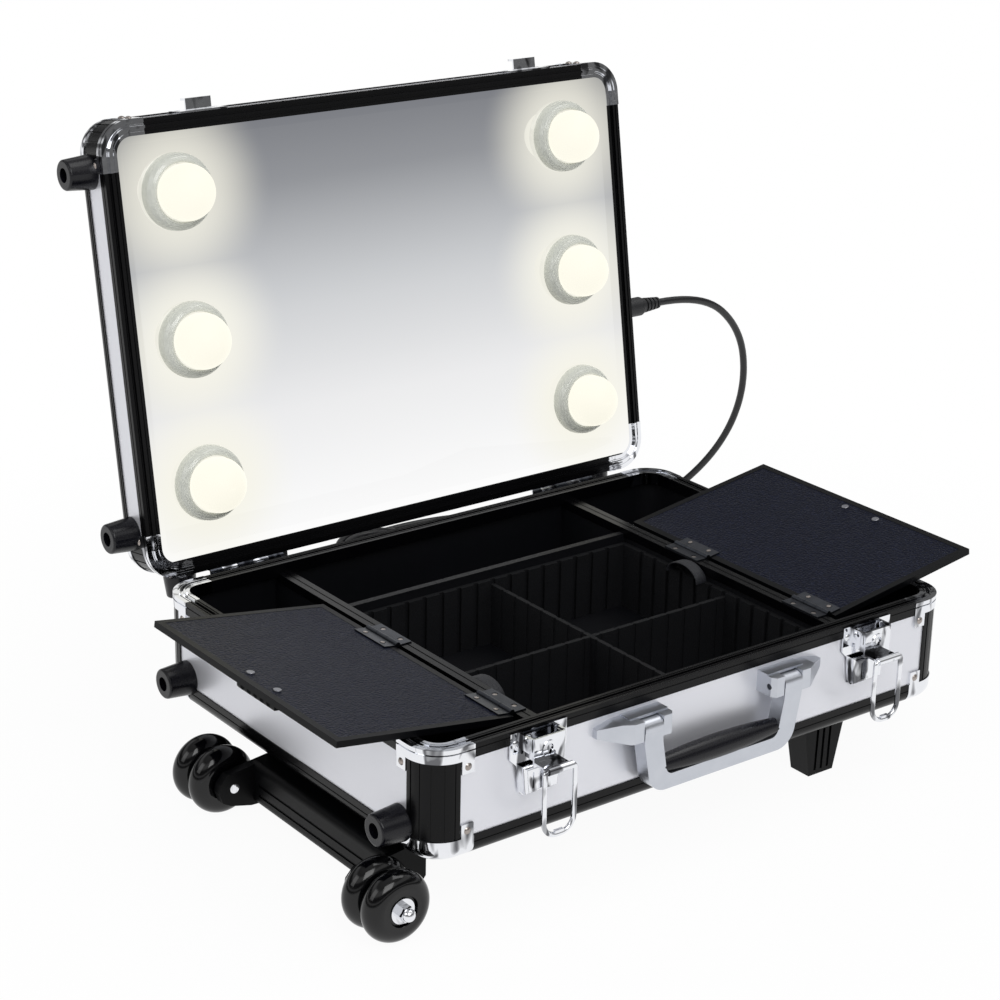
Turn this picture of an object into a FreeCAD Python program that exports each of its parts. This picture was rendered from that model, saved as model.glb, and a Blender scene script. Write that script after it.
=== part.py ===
import FreeCAD, Part
import os, math
from FreeCAD import Vector as V

os.makedirs("parts", exist_ok=True)

# Case shell: width along X, depth along Y, front faces -Y, floor at z = 0
CASE_W, CASE_D = 530.0, 378.0
CORNER_R = 27.0           # plan radius of the corner posts
CORNER_LEG = 40.0         # reach of a chrome corner from the case corner
GROUND = 50.0             # floor to underside of the base
BASE_H, LID_H = 91.0, 45.0
RIM_W = 13.0              # width of the mating face of the rim profile
BASE_RIM_H, LID_RIM_H = 11.0, 8.5
BASE_TRIM_H, LID_TRIM_H = 17.4, 14.0
EDGE_R = 10.0             # rounding of the outer edge profile
PANEL_IN, PANEL_T = 1.0, 4.0      # set-back of the panels and their thickness
SLOT_DEEP = 4.0           # panel depth held in the rim slot
SHOULDER = 9.0            # outer face to the seat of the panels
BOARD_T, LEDGE_T = 5.0, 4.0       # floor or cover board and the ledge under it
BOARD_IN, LEDGE_IN = 8.0, 17.0
LINER_T = 2.0
GROOVE_W, GROOVE_IN = 1.4, 0.6    # upright grooves of the corner posts
PROUD = 0.8               # chrome stands this far outside the profiles
EAR_W, EAR_H = 11.0, 11.0
RIVET_R, RIVET_HEAD_R, RIVET_FIT = 1.5, 3.0, 0.05
LID_GAP = 0.6             # between the rims when shut
OPEN_DEG = 99.5           # lid opening in the photographed pose

# Lid hinge: axis behind the back face and below the rim
HINGE_BACK, HINGE_DROP = 6.2, 7.8
HINGE_R, HINGE_PIN_R = 3.5, 1.5
HINGE_LEN, HINGE_SIDE = 76.0, 94.0
LEAF_T = 1.5
RUN_FIT = 0.05            # radial clearance of every pin

# Inside of the base
SIDE_W, WALL_T = 110.5, 9.6       # case side to divider wall centre, and its thickness
CAP_T, CAP_LIP, CAP_DROP = 2.0, 1.2, 8.0
CROSS_BACK, CROSS_T, CROSS_DROP = 94.0, 6.0, 13.0
LINING_T, LINING_DROP, SLOT_PITCH, SLOT_W, SLOT_IN = 5.0, 21.0, 18.0, 4.4, 2.5
FOAM_T, FOAM_DROP = 4.0, 25.0
LOOP_A, LOOP_B, LOOP_W, LOOP_T, LOOP_Y = 20.0, 13.0, 12.0, 1.5, 45.0

# Folding table flaps
FLAP_AXIS_OUT, FLAP_AXIS_DROP = 8.5, 7.0
FLAP_MEET, FLAP_FRONT, FLAP_BACK = 5.0, 32.0, 90.0
FLAP_T, BOARD_CORE_T, BIND_LIP = 5.2, 4.0, 6.0
FLAP_LEAF_T, FLAP_LEAF_L, FLAP_LEAF_W = 1.0, 42.0, 13.0
FLAP_KNUCKLE_R, FLAP_PIN_R = 2.2, 1.1
FLAP_HINGE_IN, FLAP_HINGE_BACK = 5.0, 103.0   # flap ends to the start of each hinge
FLAP_REST_GAP = 0.1               # open flap above the rim
PULL_OFF, PULL_L = 11.0, 52.0

# Lamps, mirror
MIRROR_IN, MIRROR_T, BACKING_T, BEZEL_W = 4.0, 3.0, 5.0, 7.0
BULB_SIDE, BULB_BACK, BULB_FRONT, BULB_OFF = 65.0, 73.0, 62.0, 5.0
GLOBE_R, GLOBE_OUT = 23.5, 17.0
NECK_R, SOCKET_R, SOCKET_L = 13.0, 18.0, 22.0
SKIRT_R, SKIRT_TOP_R, SKIRT_H, SKIRT_T = 32.0, 25.6, 12.0, 1.5

# Front fittings
LATCH_SIDE, LATCH_W, LATCH_H, LATCH_DROP = 97.0, 52.0, 52.0, 1.5
LEVER_DROP, LEVER_OUT, LEVER_L, LEVER_W, LEVER_DEEP = 6.0, 8.0, 18.0, 28.0, 6.5
LEVER_PIN_R, LEVER_T, LEVER_GAP = 1.25, 1.5, 0.4
BAIL_R, BAIL_W, BAIL_L, BAIL_BEND, LIP_OUT = 2.0, 28.0, 53.0, 12.0, 13.0
HANDLE_DROP, HANDLE_OUT, HANDLE_L = 24.0, 13.0, 54.0
ARM_X, ARM_W, ARM_T, HANDLE_PIN_R, ARM_HEAD_R = 71.5, 18.0, 13.0, 2.5, 7.0
ARM_STRAIGHT, ARM_DRAW, ARM_FIT = 11.0, 8.0, 0.4
BAR_H, BAR_R = 12.0, 18.0
GRIP_R, GRIP_END_R, GRIP_UP, GRIP_SOCKET = 9.5, 6.3, 6.5, 3.0

# Running gear
WHEEL_R, WHEEL_W, WHEEL_PITCH, AXLE_OUT, AXLE_R = 28.0, 22.0, 24.5, 25.0, 4.0
WHEEL_FRONT, WHEEL_REAR = 5.5, 107.0   # case front and back to the outer wheels
CHEEK_T, CHEEK_GAP, NUT_FLATS = 8.0, 2.0, 11.0
FOOT_SIDE, FOOT_L, FOOT_IN, FOOT_W = 115.5, 47.0, 31.0, 24.0
FOOT_TAPER, FOOT_LEAN, TROLLEY_IN = 10.0, 1.5, 59.0
BUMPER_R, BUMPER_TIP_R, BUMPER_L = 14.5, 12.5, 24.0
TUBE_W, TUBE_H, TUBE_WALL, TUBE_FIT = 16.0, 12.0, 1.5, 0.1
SLEEVE_IN, SLEEVE_OUT, TUBE_IN, TUBE_OUT = 43.0, 115.0, 50.0, 3.0

# Mains lead
CORD_R, GLAND_S, GLAND_DEEP = 3.5, 145.0, 20.0
COLLAR_R, COLLAR_L, BOOT_R, BOOT_L = 9.0, 28.0, 7.5, 21.0
COIL_R, COIL_PITCH, COIL_TURNS = 46.0, 7.6, 2.0
COIL_SIDE, COIL_BACK = 145.0, 241.0

HW, HD = CASE_W / 2, CASE_D / 2
RIM_Z = GROUND + BASE_H
LID_Z = RIM_Z + LID_GAP
HINGE_X, HINGE_Y, HINGE_Z = HW - HINGE_SIDE, HD + HINGE_BACK, RIM_Z - HINGE_DROP
WALL_X, CROSS_Y, LATCH_X = HW - SIDE_W, HD - CROSS_BACK, HW - LATCH_SIDE
CROSS_TOP, LINING_TOP, FOAM_TOP = RIM_Z - CROSS_DROP, RIM_Z - LINING_DROP, RIM_Z - FOAM_DROP
FLAP_AXIS_X, FLAP_Y0, FLAP_Y1 = WALL_X + FLAP_AXIS_OUT, -HD + FLAP_FRONT, HD - FLAP_BACK
FLAP_W = FLAP_AXIS_X - FLAP_MEET
FLAP_HINGE_Y = (FLAP_Y0 + FLAP_HINGE_IN, FLAP_Y1 - FLAP_HINGE_BACK)
PULL_Y = (FLAP_Y0 + FLAP_Y1) / 2 - PULL_OFF
BULB_X, BULB_S = HW - BULB_SIDE, (BULB_BACK, HD + BULB_OFF, CASE_D - BULB_FRONT)
AXLE_X, FOOT_X, FOOT_Y, TROLLEY_Y = -HW - AXLE_OUT, HW - FOOT_SIDE, HD - FOOT_IN, HD - TROLLEY_IN
WHEEL_Y = {"front_outer": -HD + WHEEL_FRONT, "front_inner": -HD + WHEEL_FRONT + WHEEL_PITCH,
           "rear_inner": HD - WHEEL_REAR - WHEEL_PITCH, "rear_outer": HD - WHEEL_REAR}
SLEEVE_X0, SLEEVE_X1, TUBE_X0, TUBE_X1 = -HW + SLEEVE_IN, HW - SLEEVE_OUT, -HW + TUBE_IN, HW - TUBE_OUT
COIL_C = (HW - COIL_SIDE, HD + COIL_BACK)
FLAP_AXIS_Z = RIM_Z - FLAP_AXIS_DROP
FLOOR_TOP = GROUND + SHOULDER + LINER_T
UNDER = GROUND + LEDGE_T          # underside of the floor board, inside the ledge
X1, Y1, Z1 = V(1, 0, 0), V(0, 1, 0), V(0, 0, 1)


def box(x0, x1, y0, y1, z0, z1):
    return Part.makeBox(x1 - x0, y1 - y0, z1 - z0, V(x0, y0, z0))


def rod(r, p, axis, length):
    return Part.makeCylinder(r, length, V(*p), axis)


def fuse(shapes):
    return shapes[0].multiFuse(shapes[1:]).removeSplitter() if len(shapes) > 1 else shapes[0]


def cut(shape, tools):
    for tool in tools:
        shape = shape.cut(tool)
    return shape


def mirror_x(shape):
    return shape.mirror(V(0, 0, 0), X1)


def prism(points, axis, length):
    wire = Part.makePolygon([V(*p) for p in points] + [V(*points[0])])
    return Part.Face(wire).extrude(axis * length)


def slab(inset, z0, z1):
    # Rounded rectangle of the case plan, moved in by inset.
    b = box(-HW + inset, HW - inset, -HD + inset, HD - inset, z0, z1)
    return b.makeFillet(CORNER_R - inset, [e for e in b.Edges if abs(e.BoundBox.ZLength) > z1 - z0 - 0.01])


def corner_zones(side, z0, z1):
    big = 40.0
    return [box(min(sx * (HW - side), sx * (HW + big)), max(sx * (HW - side), sx * (HW + big)),
                min(sy * (HD - side), sy * (HD + big)), max(sy * (HD - side), sy * (HD + big)), z0, z1)
            for sx in (-1, 1) for sy in (-1, 1)]


def solids(shape):
    return [s for s in shape.Solids if s.Volume > 1.0]


def in_corners(shape, side, h):
    out = []
    for zone in corner_zones(side, -5, h + 5):
        out += solids(shape.common(zone))
    return out


def between_corners(shape, side, h):
    return solids(cut(shape, corner_zones(side, -5, h + 5)))


def arc_mid(a, corner, b):
    # Middle of the arc from a to b whose end tangents meet at corner.
    m = (a + b) * 0.5
    h, c = (corner - m).Length, (b - a).Length / 2
    return m + (corner - m) * (c * math.tan(math.atan2(h, c) / 2) / h)


def tube_on(wire, r):
    e = wire.Edges[0]
    t = e.tangentAt(e.FirstParameter)
    ring = Part.Wire([Part.makeCircle(r, wire.Vertexes[0].Point, t)])
    sweep = Part.BRepOffsetAPI.MakePipeShell(wire)
    sweep.setFrenetMode(False)
    sweep.add(ring)
    sweep.build()
    sweep.makeSolid()
    body = sweep.shape()
    print("tube volume", round(body.Volume), "section x length", round(math.pi * r * r * wire.Length))
    return body if body.Volume > 0 else body.reversed()


def save(name, shapes):
    shapes = shapes if isinstance(shapes, list) else [shapes]
    Part.makeCompound(shapes).exportStep("parts/%s.step" % name)


def on_base(shapes):
    # Local shells are built from the mating plane outward; the base hangs down from it.
    return [s.mirror(V(0, 0, 0), Z1).translated(V(0, 0, RIM_Z)) for s in shapes]


def on_lid(shapes):
    return open_lid([s.translated(V(0, 0, LID_Z)) for s in shapes])


def open_lid(shapes):
    out = []
    for s in shapes:
        s = s.copy()
        s.rotate(V(0, HINGE_Y, HINGE_Z), X1, -OPEN_DEG)
        out.append(s)
    return out


def ear_spots(z):
    # Ears on both faces of each corner: centre on the panel face and outward direction.
    a = CORNER_LEG - EAR_W / 2 - 0.5
    spots = []
    for sx in (-1, 1):
        for sy in (-1, 1):
            spots.append((sx * (HW - a), sy * HD, z, 0, sy))
            spots.append((sx * HW, sy * (HD - a), z, sx, 0))
    return spots


def ear(x, y, z, nx, ny):
    h, w, t0, t1 = EAR_H / 2, EAR_W / 2, PANEL_IN, PROUD
    if ny:
        b = box(x - w, x + w, min(y - ny * t0, y + ny * t1), max(y - ny * t0, y + ny * t1), z - h, z + h)
    else:
        b = box(min(x - nx * t0, x + nx * t1), max(x - nx * t0, x + nx * t1), y - w, y + w, z - h, z + h)
    return b


def rivet(x, y, z, nx, ny):
    n = V(nx, ny, 0)
    p = V(x, y, z) + n * PROUD
    shank = Part.makeCylinder(RIVET_R, PROUD + PANEL_IN + PANEL_T, p, n * -1)
    ball = Part.makeSphere(RIVET_HEAD_R * 1.25, p - n * (RIVET_HEAD_R * 0.75))
    half = Part.makeCylinder(RIVET_HEAD_R + 2, 6, p, n)
    return shank.fuse(ball.common(half)).removeSplitter()


def rivet_hole(x, y, z, nx, ny):
    n = V(nx, ny, 0)
    return Part.makeCylinder(RIVET_R + RIVET_FIT, 14, V(x, y, z) + n * 5, n * -1)


def edge_block(inset, h, trim_h, r):
    b = slab(inset, h - trim_h, h)
    tops = [e for e in b.Edges if e.BoundBox.ZMin > h - 0.01]
    return b.makeFillet(r, tops)


def post_grooves(h):
    # Upright grooves round each corner post.
    out = []
    for sx in (-1, 1):
        for sy in (-1, 1):
            for deg in (8, 26, 45, 64, 82):
                g = Part.makeBox(3.0, GROOVE_W, h + 10, V(CORNER_R - GROOVE_IN, -GROOVE_W / 2, -5))
                a = math.atan2(sy * math.sin(math.radians(deg)), sx * math.cos(math.radians(deg)))
                g.rotate(V(0, 0, 0), Z1, math.degrees(a))
                out.append(g.translated(V(sx * (HW - CORNER_R), sy * (HD - CORNER_R), 0)))
    return out


def shell(h, rim_h, trim_h, groove):
    # One half of the case in local height from its mating plane: profiles, corners, panels, board.
    slot = slab(PANEL_IN, rim_h - SLOT_DEEP, rim_h).cut(slab(PANEL_IN + PANEL_T, rim_h - SLOT_DEEP, rim_h))
    lines = [slab(3.0, -1, 0.7).cut(slab(4.2, -1, 0.7)), slab(9.0, -1, 0.7).cut(slab(10.2, -1, 0.7))]
    tongue = slab(5.4, -1.6, 0).cut(slab(7.6, -1.6, 0))
    if groove:
        lines.append(slab(5.0, -1, 2.2).cut(slab(8.0, -1, 2.2)))
    side_line = slab(-2, 3.4, 4.6).cut(slab(0.5, 3.4, 4.6))

    def rim(proud):
        ring = slab(-proud, 0, rim_h).cut(slab(RIM_W, -1, rim_h + 1))
        ring = cut(ring, [slot, side_line] + lines)
        return ring if groove else ring.fuse(tongue)

    def trim(proud):
        t = edge_block(-proud, h, trim_h, EDGE_R + proud)
        return cut(t, [slab(PANEL_IN, h - trim_h - 1, h - SHOULDER),
                       slab(BOARD_IN, h - SHOULDER - 0.5, h - LEDGE_T),
                       slab(LEDGE_IN, h - LEDGE_T - 0.5, h + 1)])

    line0, line1 = h - SHOULDER - 3.4, h - SHOULDER - 2.2
    trim_line = slab(-2, line0, line1).cut(slab(0.5, line0, line1))
    rails = between_corners(rim(0), CORNER_LEG, h) + between_corners(trim(0).cut(trim_line), CORNER_LEG, h)

    inner = PANEL_IN + PANEL_T
    post = slab(0, rim_h, h - trim_h).cut(slab(inner, 0, h))
    seat = slab(PANEL_IN, rim_h - SLOT_DEEP, h - SHOULDER).cut(slab(inner, 0, h))
    posts = in_corners(cut(post.fuse(seat).removeSplitter(), post_grooves(h)), CORNER_R + 1, h)

    rim_ears = ear_spots(rim_h + EAR_H / 2)
    trim_ears = ear_spots(h - trim_h - EAR_H / 2)
    # A shallow shell has room for one line of ears, on its rim corners.
    if h - rim_h - trim_h < 2 * EAR_H:
        trim_ears = []
    spots, corners = rim_ears + trim_ears, []
    for ring, mine in ((rim(PROUD), rim_ears), (trim(PROUD), trim_ears)):
        for piece in in_corners(ring, CORNER_LEG, h):
            near = [s for s in mine if abs(s[0] - piece.BoundBox.Center.x) < 60 and
                    abs(s[1] - piece.BoundBox.Center.y) < 60]
            body = fuse([piece] + [ear(*s) for s in near])
            corners.append(cut(body, [rivet_hole(*s) for s in near]))

    z0, z1, e = rim_h - SLOT_DEEP, h - SHOULDER, CORNER_R + 1
    panels = []
    for sy in (-1, 1):
        ys = sorted((sy * (HD - PANEL_IN), sy * (HD - inner)))
        panels.append(box(-HW + e, HW - e, ys[0], ys[1], z0, z1))
    for sx in (-1, 1):
        xs = sorted((sx * (HW - PANEL_IN), sx * (HW - inner)))
        panels.append(box(xs[0], xs[1], -HD + e, HD - e, z0, z1))
    panels = [cut(p, [rivet_hole(*s) for s in spots]) for p in panels]
    board = slab(BOARD_IN, h - SHOULDER, h - LEDGE_T)
    return rails + posts, corners, panels, board, [rivet(*s) for s in spots]


# Base shell
profiles, corners, panels, board, rivets = shell(BASE_H, BASE_RIM_H, BASE_TRIM_H, True)
base_profiles, base_corners, base_rivets = on_base(profiles), on_base(corners), on_base(rivets)
save("base_profiles", base_profiles)
save("base_corners", base_corners)
save("base_panels", on_base(panels))
save("base_floor", on_base([board]))
save("base_rivets", base_rivets)

liner_in = PANEL_IN + PANEL_T
liner = slab(liner_in, GROUND + SHOULDER, RIM_Z - BASE_RIM_H)
liner = liner.cut(slab(liner_in + LINER_T, FLOOR_TOP, RIM_Z))
save("base_liner", liner)


# Inside: two full-depth walls, a cross wall, capped rails
def divider_wall(side):
    a, b = sorted((side * (WALL_X - WALL_T / 2), side * (WALL_X + WALL_T / 2)))
    reach = HD - liner_in - LINER_T
    top = FLAP_AXIS_Z - FLAP_LEAF_T - RUN_FIT - CAP_T
    low = box(a, b, -reach, reach, FLOOR_TOP, RIM_Z - BASE_RIM_H - 4)
    return fuse([low, box(a, b, -HD + RIM_W, HD - RIM_W, RIM_Z - BASE_RIM_H - 4, top)])


def rail_cap(side):
    half = WALL_T / 2 + CAP_LIP
    top = FLAP_AXIS_Z - FLAP_LEAF_T - RUN_FIT
    x = side * WALL_X
    cap = box(x - half, x + half, -HD + RIM_W, HD - RIM_W, top - CAP_DROP, top)
    cap = cap.cut(box(x - WALL_T / 2, x + WALL_T / 2, -HD, HD, top - CAP_DROP - 1, top - CAP_T))
    line = box(x - 0.6, x + 0.6, -HD, HD, top - 0.5, top + 1)
    return cap.cut(line)


wall_in = WALL_X - WALL_T / 2
lining_x = wall_in
front_in = -HD + liner_in + LINER_T
cross_front = CROSS_Y - CROSS_T / 2
FOAM_Y = (front_in + cross_front) / 2
cross = box(-wall_in, wall_in, cross_front, CROSS_Y + CROSS_T / 2, FLOOR_TOP, CROSS_TOP)
cap_lips = [box(s * WALL_X - WALL_T / 2 - CAP_LIP, s * WALL_X + WALL_T / 2 + CAP_LIP, -HD, HD,
                FLAP_AXIS_Z - FLAP_LEAF_T - RUN_FIT - CAP_DROP, RIM_Z) for s in (-1, 1)]
save("divider_walls", [divider_wall(-1), divider_wall(1), cut(cross, cap_lips)])
save("rail_caps", [rail_cap(-1), rail_cap(1)])


def slots_along(lo, hi, centre):
    k0 = math.ceil((lo + 8 - centre) / SLOT_PITCH)
    k1 = math.floor((hi - 8 - centre) / SLOT_PITCH)
    return [centre + SLOT_PITCH * k for k in range(k0, k1 + 1)]


def slot_linings():
    lo, hi = front_in + LINING_T, cross_front - LINING_T
    h = SLOT_W / 2
    out = []
    for s in (-1, 1):
        a, b = sorted((s * (lining_x - LINING_T), s * lining_x))
        c, d = sorted((s * (lining_x - LINING_T - 1), s * (lining_x - LINING_T + SLOT_IN)))
        plate = box(a, b, lo, hi, FLOOR_TOP, LINING_TOP)
        out.append(cut(plate, [box(c, d, y - h, y + h, FLOOR_TOP - 1, LINING_TOP + 1)
                               for y in slots_along(lo, hi, FOAM_Y)]))
    for y0, c, d in ((front_in, front_in + LINING_T - SLOT_IN, front_in + LINING_T + 1),
                     (cross_front - LINING_T, cross_front - LINING_T - 1, cross_front - LINING_T + SLOT_IN)):
        plate = box(-lining_x, lining_x, y0, y0 + LINING_T, FLOOR_TOP, LINING_TOP)
        out.append(cut(plate, [box(x - h, x + h, c, d, FLOOR_TOP - 1, LINING_TOP + 1)
                               for x in slots_along(-lining_x + LINING_T, lining_x - LINING_T, 0.0)]))
    return out


def foam_dividers():
    # Two crossing sheets, each notched to half height where they cross.
    reach = lining_x - LINING_T + SLOT_IN
    y0, y1 = front_in + LINING_T - SLOT_IN, cross_front - LINING_T + SLOT_IN
    mid, h, gap = (FLOOR_TOP + FOAM_TOP) / 2, FOAM_T / 2, 0.1
    along = box(-reach, reach, FOAM_Y - h, FOAM_Y + h, FLOOR_TOP, FOAM_TOP)
    along = along.cut(box(-h - gap, h + gap, FOAM_Y - 9, FOAM_Y + 9, mid, FOAM_TOP + 1))
    across = box(-h, h, y0, y1, FLOOR_TOP, FOAM_TOP)
    across = across.cut(box(-9, 9, FOAM_Y - h - gap, FOAM_Y + h + gap, FLOOR_TOP - 1, mid))
    for x in slots_along(-lining_x + LINING_T, lining_x - LINING_T, SLOT_PITCH / 2):
        along = cut(along, [box(x - 1.5, x + 1.5, FOAM_Y + s * h - 0.8, FOAM_Y + s * h + 0.8,
                                mid - 30, FOAM_TOP + 1)
                            for s in (-1, 1)])
    for y in slots_along(y0, y1, FOAM_Y + SLOT_PITCH / 2):
        across = cut(across, [box(s * h - 0.8, s * h + 0.8, y - 1.5, y + 1.5, mid - 30, FOAM_TOP + 1)
                              for s in (-1, 1)])
    return [along, across]


def pull_loop(side, y):
    # Webbing arch standing on the lining: half oval seen from the side, clear of the rail cap.
    def half_oval(a, b, d):
        e = Part.Ellipse(V(0, 0, 0), a, b).toShape(0, math.pi)
        f = Part.Face(Part.Wire([e, Part.makeLine(V(-a, 0, 0), V(a, 0, 0))]))
        return f.extrude(V(0, 0, d))
    strap = half_oval(LOOP_A, LOOP_B, LOOP_W).cut(half_oval(LOOP_A - LOOP_T, LOOP_B - LOOP_T, LOOP_W))
    strap.rotate(V(0, 0, 0), V(1, 1, 1), 120)
    edge = WALL_X - WALL_T / 2 - CAP_LIP - 0.3
    return strap.translated(V(edge - LOOP_W if side > 0 else -edge, y, LINING_TOP))


save("slot_linings", slot_linings())
save("foam_dividers", foam_dividers())
save("pull_loops", [pull_loop(-1, FOAM_Y - LOOP_Y), pull_loop(1, FOAM_Y + LOOP_Y)])


# Hinges of the flaps, built shut on the left side
def flap_leaf(y, moving):
    # Three knuckles: the fixed leaf has the outer two, the moving leaf the middle one.
    third, gap = FLAP_LEAF_L / 3, 0.15
    middle = [(y + third + gap, y + 2 * third - gap)]
    spans = middle if moving else [(y, y + third - gap), (y + 2 * third + gap, y + 3 * third)]
    z0 = FLAP_AXIS_Z + (RUN_FIT if moving else -RUN_FIT - FLAP_LEAF_T)
    ax = -FLAP_AXIS_X
    pieces = [box(ax + FLAP_KNUCKLE_R + 0.25, ax + FLAP_LEAF_W, y, y + FLAP_LEAF_L, z0, z0 + FLAP_LEAF_T)]
    for a, b in spans:
        pieces.append(box(ax, ax + FLAP_KNUCKLE_R + 1, a, b, z0, z0 + FLAP_LEAF_T))
        pieces.append(rod(FLAP_KNUCKLE_R, (ax, a, FLAP_AXIS_Z), Y1, b - a))
    leaf = fuse(pieces)
    leaf = leaf.cut(rod(FLAP_PIN_R + RUN_FIT, (ax, y - 1, FLAP_AXIS_Z), Y1, FLAP_LEAF_L + 2))
    face = z0 if moving else z0 + FLAP_LEAF_T
    for s in (9.0, FLAP_LEAF_L - 9.0):
        leaf = leaf.cut(rod(2.4, (ax + 8.6, y + s, face - 0.35), Z1, 0.7))
    return leaf


def flap_board():
    a = -FLAP_AXIS_X + FLAP_KNUCKLE_R + 0.2
    z = FLAP_AXIS_Z + RUN_FIT + FLAP_LEAF_T
    return a, a + FLAP_W, z


def flap_binding_and_board():
    a, b, z = flap_board()
    skin = (FLAP_T - BOARD_CORE_T) / 2
    core = box(a + 1.2, b - 1.2, FLAP_Y0 + 1.2, FLAP_Y1 - 1.2, z + skin, z + FLAP_T - skin)
    bind = box(a, b, FLAP_Y0, FLAP_Y1, z, z + FLAP_T)
    bind = bind.cut(core).cut(box(a + BIND_LIP, b - BIND_LIP, FLAP_Y0 + BIND_LIP, FLAP_Y1 - BIND_LIP,
                                  z - 1, z + FLAP_T + 1))
    face = box(a + BIND_LIP, b - BIND_LIP, FLAP_Y0 + BIND_LIP, FLAP_Y1 - BIND_LIP, z + 0.2, z + FLAP_T - 0.2)
    pins = [rod(RIVET_R + RIVET_FIT, (b - 13.0, PULL_Y + s * PULL_L * 0.36, z - 3), Z1, 20) for s in (-1, 1)]
    return cut(fuse([core, face]), pins), bind


def flap_pull():
    # Moulded finger pull on the face that is up when the flap is shut.
    a, b, z = flap_board()
    top = z + FLAP_T - 0.2
    outline = [(b - 20, PULL_Y - PULL_L / 2, top), (b - 7, PULL_Y - PULL_L / 2, top),
               (b - 7, PULL_Y + PULL_L / 2, top), (b - 20, PULL_Y + PULL_L / 2, top)]
    pull = prism(outline, Z1, 9.0)
    pull = pull.makeFillet(3.0, [e for e in pull.Edges if e.BoundBox.ZMin > top + 8.9])
    nicks = [rod(3.2, (b - 5.5, PULL_Y + k * 9.0, top - 1), Z1, 12) for k in (-2, -1, 0, 1, 2)]
    holes = [rod(RIVET_R + RIVET_FIT, (b - 13.0, PULL_Y + s * PULL_L * 0.36, z - 3), Z1, 10.5)
             for s in (-1, 1)]
    return cut(pull, nicks + holes)


def flap_hardware():
    a, b, z = flap_board()
    out = [flap_leaf(y, True) for y in FLAP_HINGE_Y]
    for s in (-1, 1):
        p = (b - 13.0, PULL_Y + s * PULL_L * 0.36, z - 0.9)
        head = rod(3.4, p, Z1, 1.1)
        head = head.makeFillet(0.6, [e for e in head.Edges if e.BoundBox.ZMax < z - 0.89])
        out.append(head.fuse(rod(RIVET_R, p, Z1, FLAP_T + 3.0)).removeSplitter())
    return out


def flap_open_turn():
    # Turn that leaves the open flap just clear of the rim's inner edge.
    reach, rise = HW - RIM_W - FLAP_AXIS_X, FLAP_AXIS_DROP + FLAP_REST_GAP
    drop = RUN_FIT + FLAP_LEAF_T + FLAP_T
    lo, hi = 0.0, math.radians(30)
    for _ in range(50):
        t = (lo + hi) / 2
        along = (reach - drop * math.sin(t)) / math.cos(t)
        lo, hi = (t, hi) if along * math.sin(t) - drop * math.cos(t) < rise else (lo, t)
    return 180.0 - math.degrees(hi)


FLAP_TURN = flap_open_turn()
print("flap turn deg", FLAP_TURN)


def opened(shape):
    s = shape.copy()
    s.rotate(V(-FLAP_AXIS_X, 0, FLAP_AXIS_Z), Y1, -FLAP_TURN)
    return s


flap_core, flap_bind = flap_binding_and_board()
flap_parts = {"flap_board": [flap_core], "flap_binding": [flap_bind], "flap_pull": [flap_pull()],
              "flap_hardware": flap_hardware()}
for name, group in flap_parts.items():
    left = [opened(s) for s in group]
    save("left_" + name, left)
    save("right_" + name, [mirror_x(s) for s in left])


# Lid hinges, built shut
def knuckle_spans(x, parity):
    step, gap = HINGE_LEN / 5, 0.2
    return [(x - HINGE_LEN / 2 + step * k + (gap if k else 0),
             x - HINGE_LEN / 2 + step * (k + 1) - (gap if k < 4 else 0))
            for k in range(5) if k % 2 == parity]


def base_leaf(x):
    y0, half = HD, HINGE_LEN / 2
    z_top = HINGE_Z - 2.0
    pieces = [box(x - half, x + half, y0, y0 + LEAF_T, RIM_Z - 38, z_top),
              box(x - half, x + half, y0 - PANEL_IN, y0, RIM_Z - 38, RIM_Z - BASE_RIM_H)]
    for a, b in knuckle_spans(x, 0):
        pieces.append(box(a, b, y0, HINGE_Y, HINGE_Z - HINGE_R, HINGE_Z - HINGE_R + LEAF_T))
        pieces.append(rod(HINGE_R, (a, HINGE_Y, HINGE_Z), X1, b - a))
    leaf = fuse(pieces)
    leaf = leaf.cut(rod(HINGE_PIN_R + RUN_FIT, (x - half - 1, HINGE_Y, HINGE_Z), X1, HINGE_LEN + 2))
    for s in (-26.0, 0.0, 26.0):
        leaf = leaf.cut(rod(3.0, (x + s, y0 + LEAF_T - 0.5, RIM_Z - 27), Y1, 2))
    return leaf


def lid_leaf(x):
    y0, half = HD, HINGE_LEN / 2
    z_low = LID_Z + 0.4
    pieces = [box(x - half, x + half, y0, y0 + LEAF_T, z_low, LID_Z + 26),
              box(x - half, x + half, y0 - PANEL_IN, y0, LID_Z + LID_RIM_H, LID_Z + 26),
              box(x - half, x + half, y0, HINGE_Y + HINGE_R, z_low, z_low + LEAF_T)]
    for a, b in knuckle_spans(x, 1):
        pieces.append(box(a, b, HINGE_Y + HINGE_R - LEAF_T, HINGE_Y + HINGE_R, HINGE_Z, z_low + LEAF_T))
        pieces.append(rod(HINGE_R, (a, HINGE_Y, HINGE_Z), X1, b - a))
    leaf = fuse(pieces)
    leaf = leaf.cut(rod(HINGE_PIN_R + RUN_FIT, (x - half - 1, HINGE_Y, HINGE_Z), X1, HINGE_LEN + 2))
    for s in (-26.0, 0.0, 26.0):
        leaf = leaf.cut(rod(3.0, (x + s, y0 + LEAF_T - 0.5, LID_Z + 18), Y1, 2))
    return leaf


flap_fixed = [flap_leaf(y, False) for y in FLAP_HINGE_Y]
base_leaves = [base_leaf(-HINGE_X), base_leaf(HINGE_X)]
save("fixed_hinge_leaves", base_leaves + flap_fixed + [mirror_x(s) for s in flap_fixed])
save("lid_hinge_leaves", open_lid([lid_leaf(-HINGE_X), lid_leaf(HINGE_X)]))


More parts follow.
